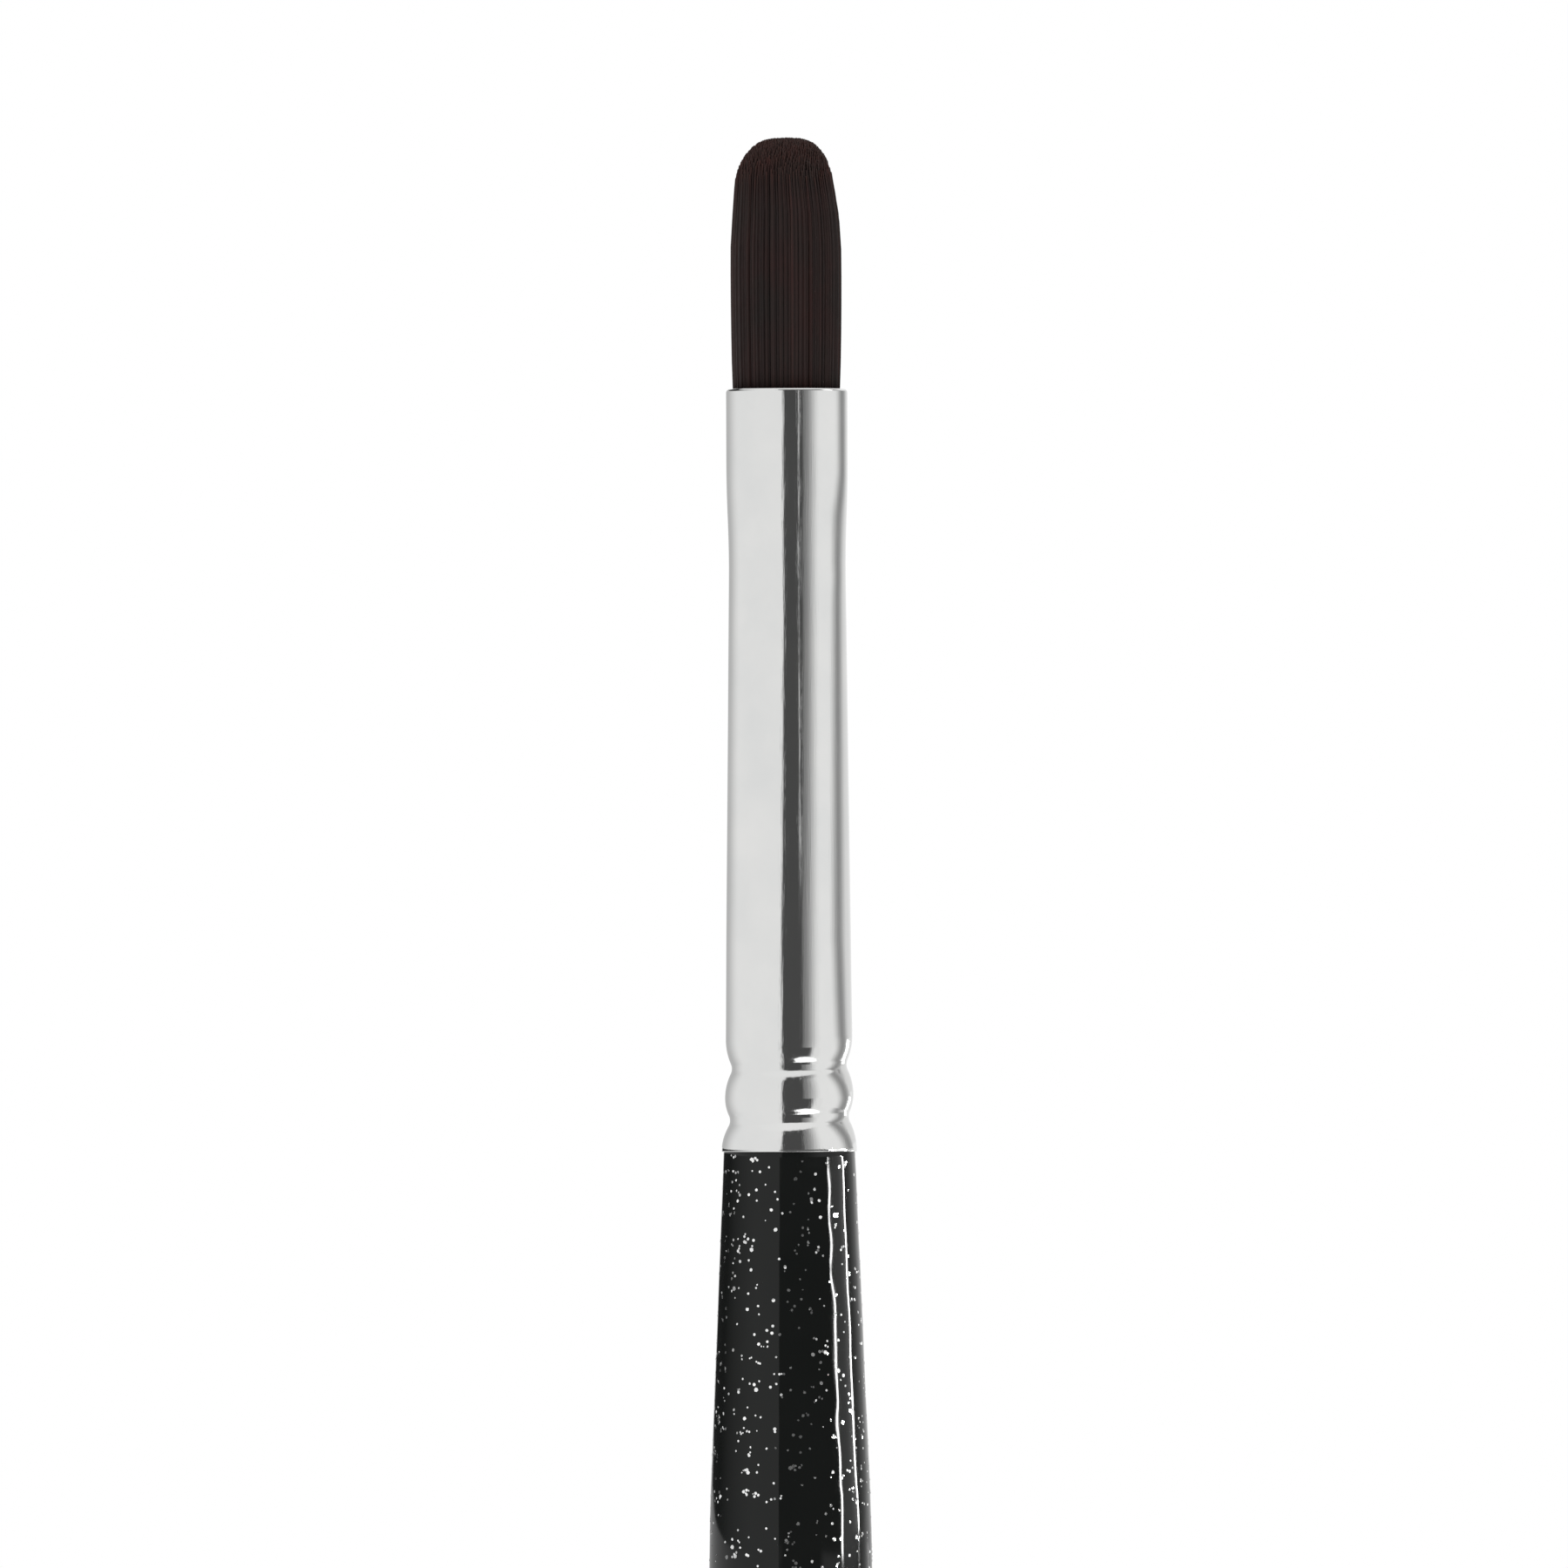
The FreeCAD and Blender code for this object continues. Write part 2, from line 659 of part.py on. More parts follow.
os.makedirs("parts", exist_ok=True)
for body in doc.findObjects("PartDesign::Body"):
    body.Shape.exportStep(f"parts/{body.Label}.step")
    print(f"{body.Label}: {body.Shape.Volume:.3f} mm3")
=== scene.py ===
import bpy
import math
import numpy as np
from mathutils import Matrix, Vector


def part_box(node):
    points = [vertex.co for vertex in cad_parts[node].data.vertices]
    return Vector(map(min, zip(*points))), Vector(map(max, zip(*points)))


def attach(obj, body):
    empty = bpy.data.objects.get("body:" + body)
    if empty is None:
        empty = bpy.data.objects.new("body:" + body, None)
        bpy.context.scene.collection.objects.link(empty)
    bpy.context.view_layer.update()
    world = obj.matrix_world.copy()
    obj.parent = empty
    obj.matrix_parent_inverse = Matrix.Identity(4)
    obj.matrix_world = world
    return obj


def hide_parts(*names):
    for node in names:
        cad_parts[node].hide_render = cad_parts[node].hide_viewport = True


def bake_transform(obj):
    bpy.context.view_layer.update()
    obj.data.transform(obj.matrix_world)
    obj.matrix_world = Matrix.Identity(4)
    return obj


# Round stencil brush: polished ferrule, black handle with silver flakes in its coat, dark tuft.
# Sizes below are millimetres unless a note says otherwise; meshes are made in metres.

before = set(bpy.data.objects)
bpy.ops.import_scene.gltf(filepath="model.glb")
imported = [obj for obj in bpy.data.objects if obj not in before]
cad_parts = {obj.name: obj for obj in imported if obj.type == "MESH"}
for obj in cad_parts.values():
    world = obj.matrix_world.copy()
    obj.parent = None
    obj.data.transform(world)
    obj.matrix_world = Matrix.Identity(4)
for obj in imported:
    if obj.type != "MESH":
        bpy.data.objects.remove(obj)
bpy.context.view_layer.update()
mm = 0.001

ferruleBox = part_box("ferrule")
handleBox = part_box("glitter_lacquer")
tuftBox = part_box("filament_head")
rimHeight = ferruleBox[0][2] / mm            # the ferrule's lower rim, on the handle's shoulder
mouthHeight = ferruleBox[1][2] / mm          # where the tuft comes out
rimRadius = ferruleBox[1][0] / mm
bellyRadius = handleBox[1][0] / mm
tipHeight = tuftBox[1][2] / mm
print("frame loaded, mouth at", round(mouthHeight, 2), "mm")


# Helpers for meshes.

def gridFaces(rows, columns, loopRows=False):
    # Quads between neighbouring rows and columns; columns wrap round the axis, rows too if looped.
    # Corner number = row * columns + column, and each quad is (r, c), (r, c+1), (r+1, c+1), (r+1, c).
    lastRow = rows if loopRows else rows - 1
    row, column = np.meshgrid(np.arange(lastRow), np.arange(columns), indexing="ij")
    nextRow, nextColumn = (row + 1) % rows, (column + 1) % columns
    corners = [row * columns + column, row * columns + nextColumn,
               nextRow * columns + nextColumn, nextRow * columns + column]
    return np.stack(corners, axis=-1).reshape(-1, 4)


def fanFaces(ringStart, columns, pole, upwards):
    # Triangles from one pole point to each side of a ring; upwards says which way they face.
    here = ringStart + np.arange(columns)
    after = ringStart + (np.arange(columns) + 1) % columns
    tip = np.full(columns, pole)
    return np.stack([here, after, tip] if upwards else [after, here, tip], axis=-1)


def makePiece(name, points, faceSets, material, smooth=True):
    # Points in millimetres and lists of same-sided faces, put straight into a mesh.
    mesh = bpy.data.meshes.new(name)
    corners = np.concatenate([faces.ravel() for faces in faceSets]).astype(np.int32)
    sides = np.concatenate([np.full(len(faces), faces.shape[1]) for faces in faceSets])
    starts = np.concatenate([[0], np.cumsum(sides)[:-1]]).astype(np.int32)
    mesh.vertices.add(len(points))
    mesh.vertices.foreach_set("co", (points * mm).astype(np.float32).ravel())
    mesh.loops.add(len(corners))
    mesh.loops.foreach_set("vertex_index", corners)
    mesh.polygons.add(len(starts))
    mesh.polygons.foreach_set("loop_start", starts)
    mesh.polygons.foreach_set("use_smooth", np.full(len(starts), smooth))
    mesh.update(calc_edges=True)
    mesh.validate()
    mesh.materials.append(material)
    piece = bpy.data.objects.new(name, mesh)
    bpy.context.scene.collection.objects.link(piece)
    return piece


def paintPoints(piece, name, values):
    # A value or a colour for every point, kept as a named attribute that a material reads.
    kind, key = ("FLOAT", "value") if values.ndim == 1 else ("FLOAT_COLOR", "color")
    layer = piece.data.attributes.new(name, kind, "POINT")
    layer.data.foreach_set(key, values.astype(np.float32).ravel())


def ripples(random, count, roundMost, shortest, longest):
    # A handful of random waves: times round the axis, waves per millimetre along it, phase, share.
    return {
        "turns": random.integers(0, roundMost + 1, count),
        "along": 1 / random.uniform(shortest, longest, count) * random.choice([-1, 1], count),
        "phase": random.uniform(0, 2 * math.pi, count),
        "share": random.uniform(0.4, 1.0, count) / math.sqrt(count),
    }


def fadedEnds(height, growOver, end, fadeOver):
    # 0 at height 0, 1 from growOver up, and back to 0 at the end over a run of fadeOver.
    return np.clip(height / growOver, 0, 1) * np.clip((end - height) / fadeOver, 0, 1)


def rippleAt(waves, angle, height):
    # Sum of cosines of (turns * angle + 2 pi * along * height + phase), each times its share.
    total = np.zeros(np.broadcast(angle, height).shape)
    for turns, along, phase, share in zip(*waves.values()):
        total += share * np.cos(turns * angle + 2 * math.pi * along * height + phase)
    return total


# Helpers for materials.

def addNode(tree, kind, settings=None, **inputs):
    # A node with its settings; an input is a link if it is a socket, else a fixed value.
    node = tree.nodes.new(kind)
    for key, value in (settings or {}).items():
        setattr(node, key, value)
    for key, value in inputs.items():
        socket = node.inputs[key.replace("_", " ")]
        if isinstance(value, bpy.types.NodeSocket):
            tree.links.new(value, socket)
        else:
            socket.default_value = value
    return node


def newGroup(name, inputs, outputs):
    # An empty node group with named inputs (kind, start value) and outputs (kind).
    tree = bpy.data.node_groups.new(name, "ShaderNodeTree")
    for title, (kind, start) in inputs.items():
        socket = tree.interface.new_socket(title, in_out="INPUT", socket_type=kind)
        socket.default_value = start
    for title, kind in outputs.items():
        tree.interface.new_socket(title, in_out="OUTPUT", socket_type=kind)
    return tree, tree.nodes.new("NodeGroupInput"), tree.nodes.new("NodeGroupOutput")


def makeMottleGroup():
    # Soft uneven patches: noise at a scale, spread between a low and a high value.
    tree, start, end = newGroup(
        "softMottle",
        {"Size": ("NodeSocketFloat", 300.0), "Low": ("NodeSocketFloat", 0.0),
         "High": ("NodeSocketFloat", 1.0)},
        {"Value": "NodeSocketFloat"},
    )
    place = addNode(tree, "ShaderNodeTexCoord")
    noise = addNode(tree, "ShaderNodeTexNoise", Vector=place.outputs["Object"],
                    Scale=start.outputs["Size"], Detail=4.0, Roughness=0.55)
    spread = addNode(tree, "ShaderNodeMapRange", Value=noise.outputs[0], From_Min=0.3, From_Max=0.7,
                     To_Min=start.outputs["Low"], To_Max=start.outputs["High"])
    tree.links.new(spread.outputs["Result"], end.inputs["Value"])
    return tree


def makeLinesGroup():
    # Fine lines along or round the piece: noise stretched by a three-part scale.
    tree, start, end = newGroup(
        "fineLines",
        {"Stretch": ("NodeSocketVector", (1.0, 1.0, 1.0)), "Size": ("NodeSocketFloat", 1.0),
         "Sharpness": ("NodeSocketFloat", 0.1)},
        {"Mask": "NodeSocketFloat"},
    )
    place = addNode(tree, "ShaderNodeTexCoord")
    stretched = addNode(tree, "ShaderNodeVectorMath", {"operation": "MULTIPLY"})
    tree.links.new(place.outputs["Object"], stretched.inputs[0])
    tree.links.new(start.outputs["Stretch"], stretched.inputs[1])
    noise = addNode(tree, "ShaderNodeTexNoise", Vector=stretched.outputs[0],
                    Scale=start.outputs["Size"], Detail=3.0, Roughness=0.6)
    upper = addNode(tree, "ShaderNodeMath", {"operation": "ADD"})
    upper.inputs[0].default_value = 0.5
    tree.links.new(start.outputs["Sharpness"], upper.inputs[1])
    cut = addNode(tree, "ShaderNodeMapRange", Value=noise.outputs[0], From_Min=0.5,
                  From_Max=upper.outputs[0])
    tree.links.new(cut.outputs["Result"], end.inputs["Mask"])
    return tree


def makePeelGroup():
    # Orange peel of a dipped coat: the height of two sizes of soft noise, one on the other.
    tree, start, end = newGroup(
        "orangePeel",
        {"Size": ("NodeSocketFloat", 900.0)},
        {"Height": "NodeSocketFloat"},
    )
    place = addNode(tree, "ShaderNodeTexCoord")
    wide = addNode(tree, "ShaderNodeTexNoise", Vector=place.outputs["Object"],
                   Scale=start.outputs["Size"], Detail=1.0)
    finer = addNode(tree, "ShaderNodeMath", {"operation": "MULTIPLY"})
    tree.links.new(start.outputs["Size"], finer.inputs[0])
    finer.inputs[1].default_value = 3.7
    small = addNode(tree, "ShaderNodeTexNoise", Vector=place.outputs["Object"],
                    Scale=finer.outputs[0], Detail=0.0)
    total = addNode(tree, "ShaderNodeMath", {"operation": "MULTIPLY_ADD"})
    tree.links.new(small.outputs[0], total.inputs[0])
    total.inputs[1].default_value = 0.22
    tree.links.new(wide.outputs[0], total.inputs[2])
    tree.links.new(total.outputs[0], end.inputs["Height"])
    return tree


mottleGroup = makeMottleGroup()
linesGroup = makeLinesGroup()
peelGroup = makePeelGroup()


def useGroup(tree, group, **inputs):
    # A placed group with its own values; gives back the first output.
    node = tree.nodes.new("ShaderNodeGroup")
    node.node_tree = group
    for key, value in inputs.items():
        node.inputs[key].default_value = value
    return node.outputs[0]


def newMaterial(name, **uniform):
    # A Principled material; the values that are the same all over sit on the shader's sockets.
    material = bpy.data.materials.new(name)
    material.use_nodes = True
    tree = material.node_tree
    shader = tree.nodes["Principled BSDF"]
    for key, value in uniform.items():
        shader.inputs[key.replace("_", " ")].default_value = value
    return material, tree, shader


def mixColours(tree, share, first, second):
    # first where share is 0, second where it is 1
    blend = addNode(tree, "ShaderNodeMix", {"data_type": "RGBA"})
    tree.links.new(share, blend.inputs["Factor"])
    for index, colour in ((6, first), (7, second)):
        if isinstance(colour, bpy.types.NodeSocket):
            tree.links.new(colour, blend.inputs[index])
        else:
            blend.inputs[index].default_value = (*colour, 1.0)
    return blend.outputs[2]


def addBump(tree, shader, height, strength, distance):
    # The height, in metres of distance times strength, tips the normals.
    bump = addNode(tree, "ShaderNodeBump", Strength=strength, Distance=distance, Height=height)
    tree.links.new(bump.outputs["Normal"], shader.inputs["Normal"])


# Camera.

cameraView = {
    "lens": 375.0,           # a long lens keeps the rims nearly straight
    "distance": 0.6,         # metres
    "below": 0.8,            # degrees under level
    "roll": -0.2,            # degrees, the tuft leans a touch to the left
    "aimHeight": 151.5,
    "aimAcross": -0.15,
}


def makeCamera():
    # Stands at aim + distance * back, looks at the aim, then rolls about its own axis.
    data = bpy.data.cameras.new("camera")
    data.lens = cameraView["lens"]
    data.clip_start = 0.01
    camera = bpy.data.objects.new("camera", data)
    bpy.context.scene.collection.objects.link(camera)
    tilt = math.radians(cameraView["below"])
    back = Vector((0, -math.cos(tilt), -math.sin(tilt)))
    aim = Vector((cameraView["aimAcross"] * mm, 0, cameraView["aimHeight"] * mm))
    turn = (-back).to_track_quat("-Z", "Y").to_matrix().to_4x4()
    roll = Matrix.Rotation(math.radians(cameraView["roll"]), 4, "Z")
    camera.matrix_world = Matrix.Translation(aim + back * cameraView["distance"]) @ turn @ roll
    bpy.context.scene.camera = camera


makeCamera()
print("camera placed")


# Ferrule: a drawn tube, swaged to a neck, with two rolled crimps.

ferruleShape = {
    "wall": 0.25,
    "lipRound": 0.12,
    "rimRound": 0.035,
    "mouthIn": 0.255,                # the mouth's radius is this much less than the rim's
    "lowCrimp": (1.22, 0.296),       # height over the rim, depth under the rim's radius
    "bead": (2.03, 0.125),
    "highCrimp": (3.12, 0.367),
    "crimpRoll": 0.45,
    "shoulder": (0.158, 2.30),       # depth, radius of its curve
    "neck": (6.7, 0.085, 50.0),      # under the mouth, depth, radius of its curve
    "lean": 0.075,                   # how far the crimps rise on the right
    "unevenCrimp": 0.05,             # share of the crimps' depth
    "dents": 0.0018,
    "crimpedTo": 5.0,                # fine rows up to this height over the rim
    "fineStep": 0.04,
    "plainRows": 96,
    "unevenFade": (0.8, 7.5, 2.5),   # grows in over the first height, ends at the second
    "leanFade": (0.9, 9.0, 5.0),     # over a run of the third
    "dentEnds": 2.0,                 # the dents die out over this height at both ends
    "around": 168,
    "seed": 11,
}


def arcAt(height, centreRadius, centreHeight, curve, side):
    # Radius of a round stretch: centre + side * sqrt(curve^2 - (height - centre)^2).
    inside = np.maximum(curve ** 2 - (height - centreHeight) ** 2, 0)
    return centreRadius + side * np.sqrt(inside)


def jointBetween(first, second):
    # Two touching arcs meet on the line between their centres, shared out by their radii.
    share = first[2] / (first[2] + second[2])
    return first[1] + (second[1] - first[1]) * share


def ferruleArcs(shape):
    # Each arc is (centre radius, centre height, curve, side); swells touch the crimps' hollows.
    roll = shape["crimpRoll"]
    lowHeight, lowDepth = shape["lowCrimp"]
    highHeight, highDepth = shape["highCrimp"]
    beadHeight, beadDepth = shape["bead"]
    low = (rimRadius - lowDepth + roll, lowHeight, roll, -1)
    high = (rimRadius - highDepth + roll, highHeight, roll, -1)

    def swellBeside(crest, hollow, base):
        apart, gap = hollow[1] - base, hollow[0] - crest
        curve = (apart ** 2 + gap ** 2 - roll ** 2) / (2 * (roll - gap))
        return (crest - curve, base, curve, 1)

    rim = swellBeside(rimRadius, low, 0.0)
    beadUnder = swellBeside(rimRadius - beadDepth, low, beadHeight)
    beadOver = swellBeside(rimRadius - beadDepth, high, beadHeight)
    shoulderDepth, shoulderCurve = shape["shoulder"]
    shoulderCentre = rimRadius - shoulderDepth - shoulderCurve
    rise = math.sqrt((shoulderCurve + roll) ** 2 - (high[0] - shoulderCentre) ** 2)
    shoulder = (shoulderCentre, highHeight + rise, shoulderCurve, 1)
    return rim, low, beadUnder, beadOver, high, shoulder


def ferruleRadius(height, shape):
    # Rim, crimp, bead, crimp and shoulder as touching arcs, then a straight taper to the neck
    # and a slow flare: hollow arc, swelling arc and a short land, all of the neck's curve.
    rim, low, beadUnder, beadOver, high, shoulder = ferruleArcs(shape)
    length = mouthHeight - rimHeight
    mouthRadius = rimRadius - shape["mouthIn"]
    drop, depth, curve = shape["neck"]
    neckHeight, neckRadius = length - drop, mouthRadius - depth
    flareRun = math.sqrt((2 * curve) ** 2 - (2 * curve - mouthRadius + neckRadius) ** 2)
    shoulderRadius = shoulder[0] + shoulder[2]
    taper = (height - shoulder[1]) / (neckHeight - shoulder[1])
    pieces = [
        (jointBetween(rim, low), arcAt(height, *rim)),
        (jointBetween(low, beadUnder), arcAt(height, *low)),
        (beadUnder[1], arcAt(height, *beadUnder)),
        (jointBetween(beadOver, high), arcAt(height, *beadOver)),
        (jointBetween(high, shoulder), arcAt(height, *high)),
        (shoulder[1], arcAt(height, *shoulder)),
        (neckHeight, shoulderRadius + (neckRadius - shoulderRadius) * taper),
        (neckHeight + flareRun / 2, arcAt(height, neckRadius + curve, neckHeight, curve, -1)),
        (neckHeight + flareRun,
         arcAt(height, mouthRadius - curve, neckHeight + flareRun, curve, 1)),
    ]
    return np.select([height < top for top, _ in pieces], [radius for _, radius in pieces],
                     mouthRadius)


def offsetInwards(radius, height, wall):
    # The profile moved square to itself by the wall: point - wall * normal, by central slopes.
    slopeRadius, slopeHeight = np.gradient(radius), np.gradient(height)
    length = np.hypot(slopeRadius, slopeHeight)
    return radius - wall * slopeHeight / length, height + wall * slopeRadius / length


def quarterRound(centreRadius, centreHeight, size, fromAngle, toAngle, steps):
    # Part of a circle in the profile's plane, angles in degrees from straight out.
    angle = np.radians(np.linspace(fromAngle, toAngle, steps))
    return centreRadius + size * np.cos(angle), centreHeight + size * np.sin(angle)


def makeFerrule(shape, material):
    # The profile, up the outside, over the lip and down inside, turned once round the axis.
    length = mouthHeight - rimHeight
    lip, rimRound, wall = shape["lipRound"], shape["rimRound"], shape["wall"]
    crimped = np.arange(rimRound, shape["crimpedTo"], shape["fineStep"])
    plain = np.linspace(shape["crimpedTo"], length - lip, shape["plainRows"])
    height = np.concatenate([crimped, plain])
    radius = ferruleRadius(height, shape)
    inRadius, inHeight = offsetInwards(radius, height, wall)
    mouthRadius = rimRadius - shape["mouthIn"]
    outLip = quarterRound(mouthRadius - lip, length - lip, lip, 8, 90, 11)
    inLip = quarterRound(mouthRadius - wall + lip, length - lip, lip, 90, 172, 11)
    inFoot = quarterRound(rimRadius - wall + rimRound, rimRound, rimRound, 188, 270, 5)
    outFoot = quarterRound(rimRadius - rimRound, rimRound, rimRound, 270, 352, 5)
    profileRadius = np.concatenate([radius, outLip[0], inLip[0], inRadius[-2:0:-3],
                                    inFoot[0], outFoot[0]])
    profileHeight = np.concatenate([height, outLip[1], inLip[1], inHeight[-2:0:-3],
                                    inFoot[1], outFoot[1]])

    angle = np.arange(shape["around"]) / shape["around"] * 2 * math.pi
    high, turned = profileHeight[:, None], angle[None, :]
    random = np.random.default_rng(shape["seed"])
    uneven = (np.cos(2 * turned + 1.0) + 0.6 * np.cos(5 * turned + 2.2)) * shape["unevenCrimp"]
    nearCrimps = fadedEnds(high, *shape["unevenFade"])
    dips = np.maximum(rimRadius - ferruleRadius(high, shape), 0)
    dents = ripples(random, 14, 5, 7.0, 24.0)
    across = (profileRadius[:, None] - dips * uneven * nearCrimps
              + shape["dents"] * rippleAt(dents, turned, high)
              * fadedEnds(high, shape["dentEnds"], length, shape["dentEnds"]))
    lifted = high + shape["lean"] * np.cos(turned) * fadedEnds(high, *shape["leanFade"])
    points = np.stack([across * np.cos(turned), across * np.sin(turned),
                       lifted + rimHeight + 0 * turned], axis=-1).reshape(-1, 3)
    faces = gridFaces(len(profileRadius), shape["around"], loopRows=True)
    return makePiece("ferrule_tube", points, [faces], material)


def makePlatedMetal():
    # Bright plating with faint upright drawing lines in its roughness and bump.
    material, tree, shader = newMaterial("platedMetal", Metallic=1.0)
    mottle = useGroup(tree, mottleGroup, Size=420.0)
    colour = mixColours(tree, mottle, (0.70, 0.705, 0.70), (0.745, 0.745, 0.735))
    tree.links.new(colour, shader.inputs["Base Color"])
    lines = useGroup(tree, linesGroup, Stretch=(1.0, 1.0, 0.035), Size=14000.0, Sharpness=0.25)
    rough = addNode(tree, "ShaderNodeMapRange", Value=lines, To_Min=0.075, To_Max=0.14)
    tree.links.new(rough.outputs["Result"], shader.inputs["Roughness"])
    addBump(tree, shader, lines, 0.10, 0.00001)
    return material


ferruleTube = makeFerrule(ferruleShape, makePlatedMetal())
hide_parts("ferrule")
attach(ferruleTube, "brush")
print("ferrule made,", len(ferruleTube.data.polygons), "faces")


# Handle: long taper, belly and neck under a thick glossy dip.

handleShape = {
    "butt": 1.85,
    "bellyDrop": 17.2,               # belly's height under the shoulder
    "bellyCurve": 141.0,
    "shoulderIn": 0.59,              # the shoulder's radius is this much less than the belly's
    "coat": 0.09,
    "edgeRound": 0.04,
    "waves": 0.0042,                 # height of the dip's slow waves
    "waveCount": 34,
    "waveLengths": (1.8, 8.0),
    "waveEnds": (6.0, 0.6),          # they die out over these heights, at the butt and the top
    "fineRun": 24.0,                 # rows are close together this far down from the top
    "fineStep": 0.14,
    "gripStep": 0.55,
    "around": 150,
    "seed": 23,
}


def handleRadius(height, shape):
    # Round butt, straight taper, one long arc for the belly and a straight neck.
    butt, curve = shape["butt"], shape["bellyCurve"]
    bellyHeight = rimHeight - shape["bellyDrop"]
    centre = bellyRadius - curve
    taperLean = (bellyRadius - butt) / (bellyHeight - butt)
    neckLean = shape["shoulderIn"] / shape["bellyDrop"]
    lowJoint = bellyHeight - curve * math.sin(taperLean)
    highJoint = bellyHeight + curve * math.sin(neckLean)
    lowRadius = centre + curve * math.cos(taperLean)
    highRadius = centre + curve * math.cos(neckLean)
    shoulderRadius = bellyRadius - shape["shoulderIn"]
    taper = (height - butt) / (lowJoint - butt)
    neck = (height - highJoint) / (rimHeight - highJoint)
    return np.select(
        [height < butt, height < lowJoint, height < highJoint],
        [arcAt(height, 0.0, butt, butt, 1), butt + (lowRadius - butt) * taper,
         arcAt(height, centre, bellyHeight, curve, 1)],
        highRadius + (shoulderRadius - highRadius) * neck,
    )


handleWaves = ripples(np.random.default_rng(handleShape["seed"]), handleShape["waveCount"], 7,
                      *handleShape["waveLengths"])


def handleSkinRadius(height, angle, shape):
    # The plain outline plus the dip's waves, which die out at the butt and at the top edge.
    fade = fadedEnds(height, shape["waveEnds"][0], rimHeight, shape["waveEnds"][1])
    return handleRadius(height, shape) + shape["waves"] * fade * rippleAt(handleWaves, angle, height)


def makeHandleSkin(shape, material):
    # Profile: up the outside from the butt's pole, over the rounded edge, and back down inside.
    coat, edge, around = shape["coat"], shape["edgeRound"], shape["around"]
    lift = np.radians(np.linspace(-88, 0, 26))
    buttHeight = shape["butt"] * (1 + np.sin(lift))
    fineFrom = rimHeight - shape["fineRun"]
    grip = np.arange(shape["butt"] + 0.6, fineFrom, shape["gripStep"])
    fine = np.arange(fineFrom, rimHeight - edge, shape["fineStep"])
    height = np.concatenate([buttHeight, grip, fine])
    angle = np.arange(around) / around * 2 * math.pi
    outside = handleSkinRadius(height[:, None], angle[None, :], shape)
    shoulder = bellyRadius - shape["shoulderIn"]
    topRound = quarterRound(shoulder - edge, rimHeight - edge, edge, 4, 90, 7)
    innerHeight = np.concatenate([[rimHeight], fine[-2::-8], grip[::-5]])
    innerRadius = handleRadius(innerHeight, shape) - coat
    innerLift = np.radians(np.linspace(0, -86, 12))
    innerButt = (shape["butt"] - coat) * np.cos(innerLift)
    innerButtHeight = shape["butt"] + (shape["butt"] - coat) * np.sin(innerLift)
    insideRadius = np.concatenate([topRound[0], innerRadius, innerButt])
    insideHeight = np.concatenate([topRound[1], innerHeight, innerButtHeight])
    across = np.concatenate([outside, insideRadius[:, None] + 0 * angle[None, :]])
    high = np.concatenate([height, insideHeight])[:, None] + 0 * angle[None, :]
    rows = len(across)
    ring = np.stack([across * np.cos(angle), across * np.sin(angle), high], axis=-1).reshape(-1, 3)
    poles = np.array([[0.0, 0.0, 0.0], [0.0, 0.0, coat]])
    points = np.concatenate([ring, poles])
    faceSets = [
        gridFaces(rows, around),
        fanFaces(0, around, rows * around, upwards=False),
        fanFaces((rows - 1) * around, around, rows * around + 1, upwards=True),
    ]
    return makePiece("handle_skin", points, faceSets, material)


def makeBlackGloss():
    # Black dip, a trace green, with orange peel; its gloss is lower than glass.
    material, tree, shader = newMaterial("blackGloss", IOR=1.31)
    mottle = useGroup(tree, mottleGroup, Size=260.0)
    colour = mixColours(tree, mottle, (0.0068, 0.0077, 0.0072), (0.0083, 0.0092, 0.0087))
    tree.links.new(colour, shader.inputs["Base Color"])
    rough = useGroup(tree, mottleGroup, Size=900.0, Low=0.035, High=0.06)
    tree.links.new(rough, shader.inputs["Roughness"])
    peel = useGroup(tree, peelGroup, Size=600.0)
    addBump(tree, shader, peel, 0.10, 0.00001)
    return material


handleSkin = makeHandleSkin(handleShape, makeBlackGloss())
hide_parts("glitter_lacquer")
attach(handleSkin, "brush")
print("handle skin made,", len(handleSkin.data.polygons), "faces")


# Flakes: thousands of tiny silver plates, a hair proud of the coat.

flakeShape = {
    "count": 9800,
    "width": 0.097,                  # middle diameter
    "widthSpread": 0.26,             # of its logarithm
    "clustered": 0.24,               # share that lies right beside another flake
    "touching": 0.52,                # centres of neighbours, as a share of both widths
    "limits": (0.05, 0.24),          # narrowest and widest
    "lowest": 1.2,
    "lowestBeside": 1.0,
    "underRim": 0.12,                # kept this far under the ferrule
    "proud": 0.006,
    "sunk": 0.03,
    "footShare": 0.96,               # the foot's width against the top's
    "tilt": 3.5,                     # degrees
    "sides": 6,
    "seed": 37,
}


